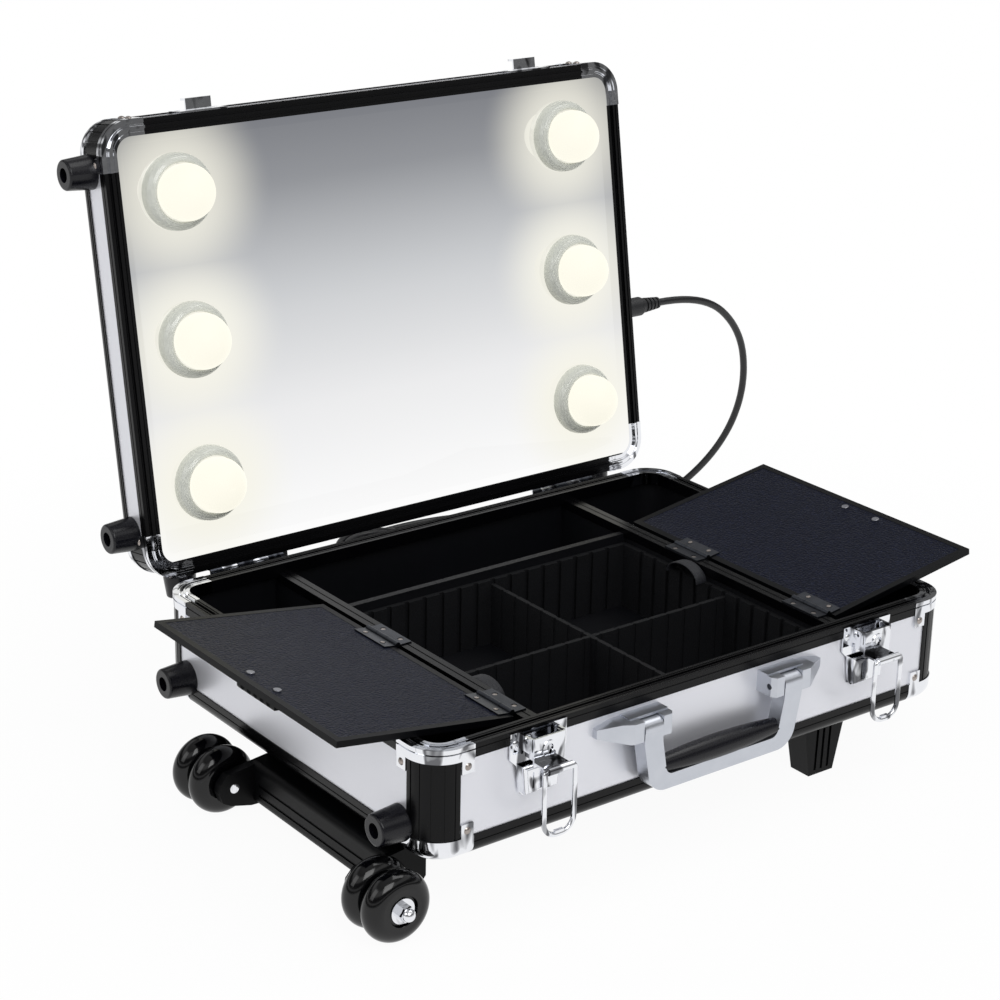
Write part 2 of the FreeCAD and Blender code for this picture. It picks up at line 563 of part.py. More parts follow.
# Front latches: plate with a bulged housing, box lever on a pin, wire bail
LATCH_TOP = RIM_Z - LATCH_DROP
LEVER_Y, LEVER_Z = -HD - LEVER_OUT, LATCH_TOP - LEVER_DROP
BAIL_Y, BAIL_Z = LEVER_Y - LEVER_DEEP - LIP_OUT, LEVER_Z - LEVER_L + LEVER_T / 2
LUG_X, LUG_T = LEVER_W / 2 + LEVER_GAP, 2.0


def latch_plate(x):
    half, y0, low = LATCH_W / 2, -HD, LATCH_TOP - LATCH_H
    side = [(half, LATCH_TOP), (half, LATCH_TOP - 21), (half - 6, LATCH_TOP - 27), (half - 8.5, low + 4),
            (half - 12, low)]
    outline = [(x + a, y0, z) for a, z in side] + [(x - a, y0, z) for a, z in side[::-1]]
    plate = prism(outline, V(0, -1, 0), LEVER_T)
    pad = box(x - half + 9, x + half - 9, y0, y0 + PANEL_IN, low + 2, RIM_Z - BASE_RIM_H)
    rim = [(-17.5, low + 25), (17.5, low + 25), (15, low + 2), (-15, low + 2)]
    house = prism([(x + a, y0, z) for a, z in rim], V(0, -1, 0), 8.0)
    house = house.makeFillet(3.5, [e for e in house.Edges if e.BoundBox.YMax < y0 - 7.9])
    lugs = [box(x + s * (LUG_X + LUG_T / 2) - LUG_T / 2, x + s * (LUG_X + LUG_T / 2) + LUG_T / 2,
                LEVER_Y - 4, y0 - 1, LEVER_Z - 8, LEVER_Z + 4) for s in (-1, 1)]
    heads = [Part.makeSphere(4.0, V(x + s * 21.2, y0 + 1.2, LATCH_TOP - 9)).common(
        box(x - 40, x + 40, y0 - 9, y0, RIM_Z - 40, RIM_Z)) for s in (-1, 1)]
    body = fuse([plate, pad, house] + lugs + heads)
    bore = rod(LEVER_PIN_R + RUN_FIT, (x - 30, LEVER_Y, LEVER_Z), X1, 60)
    slotted = box(x - 9.8, x - 8.4, y0 - 12, y0 - 6.5, low + 7, low + 20)
    return cut(body, [bore, slotted])


def latch_lever(x):
    # Box open at the back and top: front plate with a keyhole, cheeks on the pin, a lip rolled round the bail.
    half, out = LEVER_W / 2, LEVER_Y - LEVER_DEEP
    z1 = LEVER_Z - LEVER_L
    front = box(x - half, x + half, out, out + LEVER_T, z1, LEVER_Z + 4)
    cheeks = [box(x + s * (half - LEVER_T / 2) - LEVER_T / 2, x + s * (half - LEVER_T / 2) + LEVER_T / 2,
                  out, LEVER_Y + 4.5, LEVER_Z - 13.5, LEVER_Z + 3) for s in (-1, 1)]
    lip_half = BAIL_W / 2 - BAIL_R - 0.6
    lip = box(x - lip_half, x + lip_half, BAIL_Y, out + LEVER_T, z1, z1 + LEVER_T)
    roll = rod(BAIL_R + 1.1, (x - lip_half, BAIL_Y, BAIL_Z), X1, 2 * lip_half)
    ring = rod(6.5, (x, out, LEVER_Z - 6.5), V(0, -1, 0), 0.8)
    key = [rod(3.0, (x, out + 3, LEVER_Z - 5.5), V(0, -1, 0), 6),
           prism([(x + a, out + 3, LEVER_Z - d) for a, d in ((-2.6, 6.5), (2.6, 6.5), (0, 11.5))],
                 V(0, -1, 0), 6)]
    bores = [rod(LEVER_PIN_R + RUN_FIT, (x - 30, LEVER_Y, LEVER_Z), X1, 60),
             rod(BAIL_R + RUN_FIT, (x - 30, BAIL_Y, BAIL_Z), X1, 60)]
    return cut(fuse([front, lip, roll, ring] + cheeks), key + bores)


def latch_bail(x):
    # Wire with its ends turned inward into the lever's rolled lip, and a nub at its foot.
    half, low = BAIL_W / 2, BAIL_Z - BAIL_L
    right = [(6.0, BAIL_Z), (half, BAIL_Z), (half, low), (0.0, low)]
    corners = [V(x - a, BAIL_Y, z) for a, z in right[:3]] + [V(x + a, BAIL_Y, z) for a, z in right[2::-1]]
    radii = [BAIL_R + 1.0, BAIL_BEND, BAIL_BEND, BAIL_R + 1.0]
    edges, here = [], corners[0]
    for p, q, r, rad in zip(corners[:-2], corners[1:-1], corners[2:], radii):
        g, h = q + (p - q).normalize() * rad, q + (r - q).normalize() * rad
        edges += [Part.makeLine(here, g), Part.Arc(g, arc_mid(g, q, h), h).toShape()]
        here = h
    edges.append(Part.makeLine(here, corners[-1]))
    nub = box(x - 4, x + 4, BAIL_Y - BAIL_R * 0.7, BAIL_Y + BAIL_R * 0.7, low, low + BAIL_R + 1.4)
    return fuse([tube_on(Part.Wire(edges), BAIL_R), nub])


save("latch_plates", [latch_plate(-LATCH_X), latch_plate(LATCH_X)])
for side, x in (("left", -LATCH_X), ("right", LATCH_X)):
    save(side + "_latch_lever", latch_lever(x))
    save(side + "_latch_bail", latch_bail(x))


# Carry handle on two cast brackets
HANDLE_Y, HANDLE_Z = -HD - HANDLE_OUT, RIM_Z - HANDLE_DROP


def handle_bracket():
    # Forked block: a short inner cheek, and an outer cheek that runs out to a thin wedge.
    y0 = -HD + PANEL_IN
    a, b = ARM_X - ARM_W / 2 - ARM_FIT, ARM_X + ARM_W / 2 + ARM_FIT
    out, back = HANDLE_Y - 6.0, HANDLE_Y + ARM_HEAD_R + 0.6
    z0, z1 = HANDLE_Z - 8.0, HANDLE_Z + 8.5
    plan = [(a - 11, y0), (a - 11, out + 4), (a - 8, out), (a, out), (a, back), (b, back), (b, out),
            (b + 9, out), (b + 34, y0 - 5), (b + 34, y0)]
    body = prism([(x, y, z0) for x, y in plan], Z1, z1 - z0)
    # The roof bridges the slot behind the arm head.
    roof = box(a - 11, b + 8, back - 5.0, y0, HANDLE_Z + ARM_HEAD_R + ARM_FIT, z1 + 1.0)
    low = prism([(b + 8, y0 - 30, z0 - 1), (b + 36, y0 - 30, z0 - 1), (b + 36, y0 - 30, z0 + 6)], Y1, 40)
    high = prism([(b + 8, y0 - 30, z1 + 2), (b + 36, y0 - 30, z1 + 2), (b + 36, y0 - 30, z1 - 4)], Y1, 40)
    body = cut(fuse([body, roof]), [low, high])
    bore = rod(HANDLE_PIN_R + RUN_FIT, (a - 30, HANDLE_Y, HANDLE_Z), X1, ARM_W + 42)
    return body.cut(bore)


def arm_line(x, z):
    # Distance from the middle at height z of an arm edge that starts x out at the pivot and draws in below.
    slope = ARM_DRAW / (HANDLE_L - ARM_STRAIGHT)
    return x - slope * max(0.0, HANDLE_Z - ARM_STRAIGHT - z)


def arm_outline(x, top, low, radius, y, depth):
    # Upright block between two mirrored arm edges, with its lower corners and its bends rounded.
    side = [(arm_line(x, z), z) for z in (top, HANDLE_Z - ARM_STRAIGHT, low)]
    block = prism([(a, y, z) for a, z in side] + [(-a, y, z) for a, z in side[::-1]], Y1, depth)
    across = [e for e in block.Edges if e.BoundBox.YLength > depth - 0.01]
    bends = [e for e in across if abs(e.BoundBox.ZMin - HANDLE_Z + ARM_STRAIGHT) < 0.01]
    block = block.makeFillet(30.0, bends)
    across = [e for e in block.Edges if e.BoundBox.YLength > depth - 0.01]
    return block.makeFillet(radius, [e for e in across if abs(e.BoundBox.ZMax - low) < 0.01])


def carry_handle():
    # Cast frame: two arms that draw in towards the bar, round heads on the pins, sockets for the grip.
    t, low = ARM_T / 2, HANDLE_Z - HANDLE_L
    outer, inner = ARM_X + ARM_W / 2, ARM_X - ARM_W / 2
    frame = arm_outline(outer, HANDLE_Z, low, BAR_R, HANDLE_Y - t, ARM_T)
    window = arm_outline(inner, HANDLE_Z + 1, low + BAR_H, 7.0, HANDLE_Y - t - 1, ARM_T + 2)
    heads = [rod(ARM_HEAD_R, (s * ARM_X - ARM_W / 2, HANDLE_Y, HANDLE_Z), X1, ARM_W) for s in (-1, 1)]
    body = fuse([frame.cut(window)] + heads)
    body = body.cut(rod(HANDLE_PIN_R + RUN_FIT, (-200, HANDLE_Y, HANDLE_Z), X1, 400))
    return body.cut(grip_body())


def grip_body():
    # Barrel turned from an arc, with its ends let into the arms.
    z = HANDLE_Z - HANDLE_L + BAR_H + GRIP_UP
    reach = arm_line(ARM_X - ARM_W / 2, z) + GRIP_SOCKET
    left, right = V(-reach, HANDLE_Y, z), V(reach, HANDLE_Y, z)
    crown = V(0, HANDLE_Y, z + GRIP_R)
    a, b = left + V(0, 0, GRIP_END_R), right + V(0, 0, GRIP_END_R)
    edges = [Part.makeLine(left, a), Part.Arc(a, crown, b).toShape(), Part.makeLine(b, right),
             Part.makeLine(right, left)]
    return Part.Face(Part.Wire(edges)).revolve(left, X1, 360)


bracket = handle_bracket()
save("handle_brackets", [bracket, mirror_x(bracket)])
save("carry_handle", carry_handle())
save("carry_grip", grip_body())


# All pivot pins fixed in the base
def pivot_pins():
    sides = (-1, 1)
    pins = [rod(HINGE_PIN_R, (s * HINGE_X - HINGE_LEN / 2, HINGE_Y, HINGE_Z), X1, HINGE_LEN) for s in sides]
    pins += [rod(FLAP_PIN_R, (s * FLAP_AXIS_X, y, FLAP_AXIS_Z), Y1, FLAP_LEAF_L)
             for s in sides for y in FLAP_HINGE_Y]
    pins += [rod(LEVER_PIN_R, (s * LATCH_X - LUG_X - LUG_T, LEVER_Y, LEVER_Z), X1, 2 * (LUG_X + LUG_T))
             for s in sides]
    x0 = ARM_X - ARM_W / 2 - 11
    hp = rod(HANDLE_PIN_R, (x0, HANDLE_Y, HANDLE_Z), X1, ARM_W + 22)
    return pins + [hp, mirror_x(hp)]


save("pivot_pins", pivot_pins())


# Wheels on a beam with end cheeks
AXLE_Z = WHEEL_R
CHEEK_FRONT = WHEEL_Y["front_inner"] + WHEEL_W / 2 + CHEEK_GAP + CHEEK_T / 2
CHEEK_REAR = WHEEL_Y["rear_inner"] - WHEEL_W / 2 - CHEEK_GAP - CHEEK_T / 2


def wheel(y):
    # Rounded tyre section turned about the axle.
    h, r = WHEEL_W / 2, WHEEL_R - 12.0
    top = Part.Arc(V(r, -h, 0), V(WHEEL_R, 0, 0), V(r, h, 0)).toShape()
    prof = [V(r, h, 0), V(12.5, h, 0), V(11.5, h - 2.5, 0), V(AXLE_R + RUN_FIT, h - 2.5, 0),
            V(AXLE_R + RUN_FIT, -h + 2.5, 0), V(11.5, -h + 2.5, 0), V(12.5, -h, 0), V(r, -h, 0)]
    wire = Part.Wire([top] + [Part.makeLine(a, b) for a, b in zip(prof[:-1], prof[1:])])
    body = Part.Face(wire).revolve(V(0, 0, 0), Y1, 360)
    solid = body.Solids[0] if body.Solids else Part.Solid(body.Shells[0])
    return solid.translated(V(AXLE_X, y, AXLE_Z))


def cheek(y):
    e, x, z = -HW, AXLE_X, AXLE_Z
    pts = [(e + 29, GROUND), (e + 10, GROUND), (e + 10, GROUND - 4), (x - 6, z + 13), (x - 12.5, z + 6),
           (x - 14, z - 1),
           (x - 11, z - 10), (x - 3, z - 14.5), (e - 10, 9), (e + 21, 8), (e + 29, 18)]
    return prism([(px, y - CHEEK_T / 2, pz) for px, pz in pts], Y1, CHEEK_T)


def wheel_carrier():
    a, b, e = CHEEK_FRONT, CHEEK_REAR, -HW
    beam = box(e - 8, e + 23, a, b, 10, GROUND - 4)
    outer = [g for g in beam.Edges if g.BoundBox.YLength > 50 and g.BoundBox.XMax < e - 7]
    beam = beam.makeFillet(6.0, outer)
    flange = box(e + 10, e + 39, a, b, GROUND - 8, GROUND)
    tread = box(e + LEDGE_IN, e + 39, a, b, GROUND - 8, UNDER)
    body = fuse([beam, flange, tread, cheek(a), cheek(b)])
    grooves = [box(e - 10, e - 7, a + 12, b - 12, z, z + 2.4) for z in (19.0, 28.0)]
    hollow = box(e - 1, e + 16, a + 5, b - 5, 5, GROUND - 12)
    bore = rod(AXLE_R + RUN_FIT, (AXLE_X, -300, AXLE_Z), Y1, 600)
    return cut(body, grooves + [hollow, bore])


def axle_set(inner_y, outer_y, cheek_y):
    # Stud held in the cheek, spacers beside the wheels, a washer and an acorn nut.
    s = -1 if outer_y < 0 else 1
    h = WHEEL_W / 2 - 2.5

    def tube(y0, y1, r0, r1):
        lo, hi = sorted((y0, y1))
        hole = rod(r0, (AXLE_X, lo - 1, AXLE_Z), Y1, hi - lo + 2)
        return rod(r1, (AXLE_X, lo, AXLE_Z), Y1, hi - lo).cut(hole)

    def hexa(y0, y1, flat):
        lo, hi = sorted((y0, y1))
        r = flat / math.sqrt(3)
        turns = [math.radians(60 * k) for k in range(6)]
        pts = [(AXLE_X + r * math.cos(t), lo, AXLE_Z + r * math.sin(t)) for t in turns]
        return prism(pts, Y1, hi - lo)
    head0, end = cheek_y - s * CHEEK_T / 2, outer_y + s * (h + 8.5)
    bolt = rod(AXLE_R, (AXLE_X, min(head0, end), AXLE_Z), Y1, abs(end - head0))
    out = [tube(cheek_y + s * CHEEK_T / 2, inner_y - s * (h + 0.1), AXLE_R, 6.5)]
    out.append(tube(inner_y + s * (h + 0.1), outer_y - s * (h + 0.1), AXLE_R, 6.5))
    w0 = outer_y + s * (h + 0.1)
    out.append(tube(w0, w0 + s * 1.6, AXLE_R, 10.0))
    nut = hexa(w0 + s * 1.6, w0 + s * 8.1, NUT_FLATS)
    dome = Part.makeSphere(NUT_FLATS * 0.47, V(AXLE_X, w0 + s * 8.1, AXLE_Z))
    nut = fuse([nut, dome.common(rod(9, (AXLE_X, w0 + s * 8.1, AXLE_Z), V(0, s, 0), 9))])
    return [bolt] + out + [nut.cut(bolt)]


for name, y in WHEEL_Y.items():
    save("wheel_" + name, wheel(y))
save("wheel_carrier", wheel_carrier())
save("axles", axle_set(WHEEL_Y["front_inner"], WHEEL_Y["front_outer"], CHEEK_FRONT) +
     axle_set(WHEEL_Y["rear_inner"], WHEEL_Y["rear_outer"], CHEEK_REAR))


# Feet, and the trolley: sleeves, tubes and grip
TUBE_Z = GROUND - 10.0


def tube_hole(y, fit):
    w, h = TUBE_W / 2 + fit, TUBE_H / 2 + fit
    return box(-400, 400, y - w, y + w, TUBE_Z - h, TUBE_Z + h)


def foot(side):
    y, a, w = side * FOOT_Y, FOOT_L / 2, FOOT_W / 2
    signs = ((-1, -1), (1, -1), (1, 1), (-1, 1), (-1, -1))
    top = Part.makePolygon([V(FOOT_X + i * a, y + j * w, UNDER) for i, j in signs])
    low = Part.makePolygon([V(FOOT_X + i * (a - FOOT_TAPER), y + j * (w - FOOT_LEAN), 0) for i, j in signs])
    body = Part.makeLoft([top, low], True)
    ribs = [box(FOOT_X + k * 7.0 - 1.3, FOOT_X + k * 7.0 + 1.3,
                y + s * (w + 5) - 7.6, y + s * (w + 5) + 7.6, 4, GROUND - 3)
            for k in (-1, 0, 1) for s in (-1, 1)]
    return cut(body, ribs)


def sleeve(y):
    w, z0 = TUBE_W / 2 + 3.0, TUBE_Z - TUBE_H / 2 - 3.0
    return box(SLEEVE_X0, SLEEVE_X1, y - w, y + w, z0, UNDER).cut(tube_hole(y, TUBE_FIT))


def trolley_tube(y):
    w, h, t = TUBE_W / 2, TUBE_H / 2, TUBE_WALL
    tube = box(TUBE_X0, TUBE_X1, y - w, y + w, TUBE_Z - h, TUBE_Z + h)
    return tube.cut(box(TUBE_X0 - 1, TUBE_X1 - 24, y - w + t, y + w - t, TUBE_Z - h + t, TUBE_Z + h - t))


def trolley_grip():
    # Bar between the tube ends with a waisted hand hold.
    y = TROLLEY_Y - TUBE_W / 2
    bar = box(TUBE_X1 - 26, TUBE_X1, -y, y, TUBE_Z - 9, TUBE_Z + 9)
    bar = bar.makeFillet(6.0, [e for e in bar.Edges if e.BoundBox.YLength > 50])
    waist = box(TUBE_X1 - 27, TUBE_X1 - 20, -55, 55, 0, 99)
    return bar.cut(waist)


save("feet", [foot(-1), foot(1)])
save("trolley_sleeves", [sleeve(-TROLLEY_Y), sleeve(TROLLEY_Y)])
save("trolley_tubes", [trolley_tube(-TROLLEY_Y), trolley_tube(TROLLEY_Y)])
save("trolley_grip", trolley_grip())


# Rubber bumpers, shaped to whatever they are screwed over
def bumper(p, n):
    p, n = V(*p), V(*n)
    body = Part.makeCone(BUMPER_R, BUMPER_TIP_R, BUMPER_L, p, n)
    tip = [e for e in body.Edges if e.Length < 2 * math.pi * (BUMPER_TIP_R + 0.5) and len(e.Vertexes) == 1]
    body = body.makeFillet(2.0, tip)
    return body.cut(Part.makeCylinder(6.0, 8.0, p + n * (BUMPER_L - 7), n))


def seated(b, others):
    for o in others:
        if o.BoundBox.intersect(b.BoundBox):
            b = b.cut(o)
    return max(b.Solids, key=lambda s: s.Volume)


wall_x, wall_y = HW - PANEL_IN, HD - PANEL_IN
low_z = GROUND + 24.0
base_bumps = [bumper((-wall_x, y, low_z), (-1, 0, 0)) for y in (-HD + 36.0, HD - 39.0)]
base_bumps += [bumper((x, wall_y, low_z), (0, 1, 0)) for x in (-HW + 60.0, HW - 60.0)]
save("base_bumpers", [seated(b, base_profiles + base_corners + base_rivets) for b in base_bumps])


# Lid shell and what it carries, built shut then turned open
profiles, corners, panels, board, rivets = shell(LID_H, LID_RIM_H, LID_TRIM_H, False)


def gland_bore(x0, length, r):
    return rod(r, (x0, HD - GLAND_S, GLAND_DEEP), X1, length)


panels = [p.cut(gland_bore(HW - 20, 40, 6.0 + RUN_FIT)) for p in panels]
save("lid_profiles", on_lid(profiles))
save("lid_corners", on_lid(corners))
save("lid_panels", on_lid(panels))
save("lid_cover", on_lid([board]))
save("lid_rivets", on_lid(rivets))
lid_z = LID_H - 19.0
lid_bumps = [bumper((-wall_x, y, lid_z), (-1, 0, 0)) for y in (-HD + 39.0, HD - 39.0)]
lid_bumps += [bumper((x, wall_y, lid_z), (0, 1, 0)) for x in (-HW + 40.0, HW - 40.0)]
save("lid_bumpers", on_lid([seated(b, profiles + corners + rivets) for b in lid_bumps]))

bulb_spots = [(sx * BULB_X, HD - s) for sx in (-1, 1) for s in BULB_S]


def lamp_holes(z0, z1, r):
    return [rod(r, (x, y, z0), Z1, z1 - z0) for x, y in bulb_spots]


def bezel():
    def wire(inset, z):
        f = min(slab(inset, z, z + 1).Faces, key=lambda s: s.CenterOfMass.z)
        return f.OuterWire
    ring = slab(RIM_W, 0.8, MIRROR_IN)
    mouth, foot = wire(RIM_W + 0.8, 0.8 - 0.01), wire(RIM_W + BEZEL_W, MIRROR_IN + 0.01)
    return ring.cut(Part.makeLoft([mouth, foot], True))


def mirror_and_backing():
    z1 = MIRROR_IN + MIRROR_T
    glass = cut(slab(RIM_W, MIRROR_IN, z1), lamp_holes(-5, 50, SOCKET_R - 1))
    board_low = slab(RIM_W, z1, LID_RIM_H)
    board_top = slab(liner_in, LID_RIM_H, z1 + BACKING_T)
    return glass, cut(fuse([board_low, board_top]), lamp_holes(-5, 50, NECK_R + 1))


def turned(points, x, y, z):
    # Section of (radius, height below the mirror face) turned about a lamp axis.
    wire = Part.makePolygon([V(r, 0, -n) for r, n in points] + [V(points[0][0], 0, -points[0][1])])
    body = Part.Face(wire).revolve(V(0, 0, 0), Z1, 360)
    return body.Solids[0].translated(V(x, y, z))


def lamp_parts():
    skirts, globes, caps, sockets = [], [], [], []
    # Bowl-shaped skirt: a quarter oval from the flange to the lip round the globe.
    bowl = [(SKIRT_TOP_R + (SKIRT_R - SKIRT_TOP_R) * math.cos(math.radians(15 * k)),
             2.0 + (SKIRT_H - 2.0) * math.sin(math.radians(15 * k))) for k in range(7)]
    inside = [(r - SKIRT_T, n - SKIRT_T * min(1.0, n / SKIRT_H)) for r, n in bowl[::-1]]
    section = [(SKIRT_R - SKIRT_T, 0), (SKIRT_R, 0)] + bowl + [(SKIRT_TOP_R - SKIRT_T, SKIRT_H)] + inside
    back = MIRROR_IN + MIRROR_T + BACKING_T
    for x, y in bulb_spots:
        skirts.append(turned(section, x, y, MIRROR_IN))
        ball = Part.makeSphere(GLOBE_R, V(x, y, MIRROR_IN - GLOBE_OUT))
        neck = rod(NECK_R, (x, y, MIRROR_IN - GLOBE_OUT), Z1, GLOBE_OUT + 4.0)
        top = MIRROR_IN + 4.0
        above = box(x - 40, x + 40, y - 40, y + 40, top, top + 40)
        globes.append(ball.fuse(neck).removeSplitter().cut(above))
        cap = rod(NECK_R, (x, y, top), Z1, 22.0)
        cap = cut(cap, [Part.makeTorus(NECK_R + 0.5, 1.2, V(x, y, top + 5 + 4 * k), Z1) for k in range(4)])
        caps.append(fuse([cap, rod(5.0, (x, y, top + 22), Z1, 2.0)]))
        body = rod(SOCKET_R, (x, y, back), Z1, SOCKET_L)
        body = body.cut(rod(NECK_R + 0.3, (x, y, back - 1), Z1, top + 22.0 - back + 1))
        sockets.append(body.cut(rod(5.3, (x, y, back), Z1, top + 24.0 - back)))
    return skirts, globes, caps, sockets


glass, backing = mirror_and_backing()
skirts, globes, caps, sockets = lamp_parts()
save("mirror_bezel", on_lid([bezel()]))
save("mirror", on_lid([glass]))
save("mirror_backing", on_lid([backing]))
save("lamp_skirts", on_lid(skirts))
save("bulb_globes", on_lid(globes))
save("bulb_caps", on_lid(caps))
save("lamp_sockets", on_lid(sockets))


# Catches for the bails on the lid's front face
def lid_catch(x):
    y0, z0 = -HD, LID_RIM_H
    plate = box(x - 22, x + 22, y0 - 1.5, y0, 1.0, z0 + 12)
    pad = box(x - 22, x + 22, y0, y0 + PANEL_IN, z0, z0 + 12)
    shelf = box(x - 12, x + 12, y0 - 11.0, y0 - 1, z0 + 1, z0 + 2.8)
    hook = box(x - 12, x + 12, y0 - 11.0, y0 - 9.2, z0 + 1, z0 + 9)
    body = fuse([plate, pad, shelf, hook])
    return cut(body, [rod(2.4, (x + s * 17.5, y0 - 1.0, z0 + 6), V(0, -1, 0), 3) for s in (-1, 1)])


save("lid_catches", on_lid([lid_catch(-LATCH_X), lid_catch(LATCH_X)]))


# Mains lead: ribbed relief on the lid, free run, stored coil, plug
def strain_relief():
    x0 = HW - PANEL_IN
    body = fuse([gland_bore(x0 - PANEL_T - 6, PANEL_T + 7, 6.0), gland_bore(x0, COLLAR_L, COLLAR_R)])
    rims = [e for e in body.Edges
            if abs(e.BoundBox.XMin - x0 - COLLAR_L) < 0.01 and e.BoundBox.XLength < 0.01]
    body = body.makeFillet(2.0, rims)
    boot = Part.makeCone(BOOT_R, BOOT_R - 2.0, BOOT_L, V(x0 + COLLAR_L, HD - GLAND_S, GLAND_DEEP), X1)
    rings = []
    for k in range(4):
        x = x0 + COLLAR_L + 3.0 + 4.6 * k
        rings.append(gland_bore(x, 2.0, 12.0).cut(gland_bore(x - 1, 4.0, BOOT_R - 1.6 - 0.35 * k)))
    return fuse([body, cut(boot, rings)])


def gland_tip():
    p = Part.Vertex(HW - PANEL_IN + COLLAR_L + BOOT_L, HD - GLAND_S, LID_Z + GLAND_DEEP)
    p.rotate(V(0, HINGE_Y, HINGE_Z), X1, -OPEN_DEG)
    return p.Point


save("strain_relief", on_lid([strain_relief()]))


def route(points):
    # Straight runs joined by arcs tangent to both neighbours.
    edges, here, radii = [], points[0], []
    for p, q, r in zip(points[:-2], points[1:-1], points[2:]):
        u, w = (q - p), (r - q)
        turn = u.getAngle(w)
        rad = 0.45 * min(u.Length, w.Length) / math.tan(turn / 2)
        cutback = rad * math.tan(turn / 2)
        a, b = q - u.normalize() * cutback, q + w.normalize() * cutback
        edges.append(Part.makeLine(here, a))
        edges.append(Part.Arc(a, arc_mid(a, q, b), b).toShape())
        radii.append(round(rad, 1))
        here = b
    edges.append(Part.makeLine(here, points[-1]))
    print("cord radii", radii)
    return Part.Wire(edges)


def coil_point(t):
    # Turns 0..COIL_TURNS spiral in on the floor, half a turn climbs, then the next layer spirals out.
    n = COIL_TURNS
    if t < n:
        r, z = COIL_R - COIL_PITCH * t, 0.0
    elif t < n + 0.5:
        s = (t - n) / 0.5
        r = COIL_R - COIL_PITCH * (n + (t - n) - 2 * (t - n) ** 2)
        z = COIL_PITCH * s * s * (3 - 2 * s)
    else:
        r, z = COIL_R - COIL_PITCH * (2 * n + 0.5 - t), COIL_PITCH
    a = math.radians(90) + 2 * math.pi * t
    return V(COIL_C[0] + r * math.cos(a), COIL_C[1] + r * math.sin(a), CORD_R + z)


def coil_tangent(t):
    d = 0.002
    return (coil_point(t + d) - coil_point(t - d)).normalize()


def coil_wire():
    total = 2 * COIL_TURNS + 0.5
    steps = int(total * 8)
    ts = [total * k / steps for k in range(steps + 1)]
    pts, tan = [coil_point(t) for t in ts], [coil_tangent(t) for t in ts]
    edges = []
    for p, q, a, b in zip(pts[:-1], pts[1:], tan[:-1], tan[1:]):
        v, s = q - p, a + b
        k = 2 * (1 - a.dot(b))
        d = (-v.dot(s) + math.sqrt(v.dot(s) ** 2 + k * v.dot(v))) / k
        g, h = p + a * d, q - b * d
        m = (g + h) * 0.5
        edges += [Part.Arc(p, arc_mid(p, g, m), m).toShape(), Part.Arc(m, arc_mid(m, h, q), q).toShape()]
    fine = [coil_point(total * k / 900.0) for k in range(901)]
    per = 900.0 / total
    apart = min((fine[i] - fine[j]).Length
                for i in range(0, 901, 3) for j in range(i + int(per * 0.6), 901, 2))
    gap = apart - 2 * CORD_R
    print("coil self gap", round(gap, 2))
    return edges, pts[0], tan[0], pts[-1], tan[-1]


coil_edges, coil_in, in_dir, coil_out, out_dir = coil_wire()
tail = 24.0
coil_end = coil_out + out_dir * tail
coil_edges.append(Part.makeLine(coil_out, coil_end))
run_end = coil_in - in_dir * 20.0
coil = tube_on(Part.Wire([Part.makeLine(run_end, coil_in)] + coil_edges), CORD_R)
tip = gland_tip()
# Corners of the lead's route, from the back right corner of the case and the floor
drop = [(163, 63, 232), (183, 73, 166), (179, 95, 102), (155, 133, 44), (111, 177, CORD_R), (57, 235, CORD_R),
        (-15, 277, CORD_R)]
run = [tip, tip + V(58, 0, 0)] + [V(HW + x, HD + y, z) for x, y, z in drop]
run += [run_end - in_dir * 55.0, run_end]
save("cord_run", tube_on(route(run), CORD_R))
save("cord_coil", coil)


def plug():
    # Moulded plug lying beside the coil: tapered body, ribbed tail and two round pins.
    z = coil_end.z
    body = Part.makeCone(CORD_R + 2.0, z, 20.0, V(0, 0, 0), X1)
    body = fuse([body, rod(z, (20, 0, 0), X1, 26.0)])
    body = cut(body, [rod(20, (4.0 + 4.5 * k, 0, 0), X1, 1.6).cut(rod(CORD_R + 1.4 + k, (0, 0, 0), X1, 40))
                      for k in range(3)])
    pins = []
    for s in (-1, 1):
        p = rod(2.4, (44, s * 6.0, 0), X1, 21.0)
        pins.append(p.fuse(Part.makeSphere(2.4, V(65, s * 6.0, 0))).removeSplitter())
    body = fuse([body] + pins)
    body.rotate(V(0, 0, 0), Z1, math.degrees(math.atan2(out_dir.y, out_dir.x)))
    return body.translated(coil_end)


save("plug", plug())
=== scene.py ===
import bpy, bmesh
import numpy as np
from mathutils import Matrix, Vector


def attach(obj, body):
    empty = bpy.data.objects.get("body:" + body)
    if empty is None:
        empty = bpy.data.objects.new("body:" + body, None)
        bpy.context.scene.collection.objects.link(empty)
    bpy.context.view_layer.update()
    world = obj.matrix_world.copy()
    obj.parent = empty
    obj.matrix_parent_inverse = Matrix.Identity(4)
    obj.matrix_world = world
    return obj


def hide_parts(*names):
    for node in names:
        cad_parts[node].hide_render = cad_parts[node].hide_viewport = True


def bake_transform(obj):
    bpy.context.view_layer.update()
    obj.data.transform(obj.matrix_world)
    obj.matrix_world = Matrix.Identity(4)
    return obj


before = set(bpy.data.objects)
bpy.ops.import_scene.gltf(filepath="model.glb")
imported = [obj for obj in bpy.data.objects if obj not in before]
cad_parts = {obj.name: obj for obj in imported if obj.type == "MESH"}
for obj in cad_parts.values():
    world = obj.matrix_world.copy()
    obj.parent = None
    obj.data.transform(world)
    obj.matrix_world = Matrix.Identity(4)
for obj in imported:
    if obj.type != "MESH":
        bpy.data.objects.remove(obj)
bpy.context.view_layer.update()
scene = bpy.context.scene


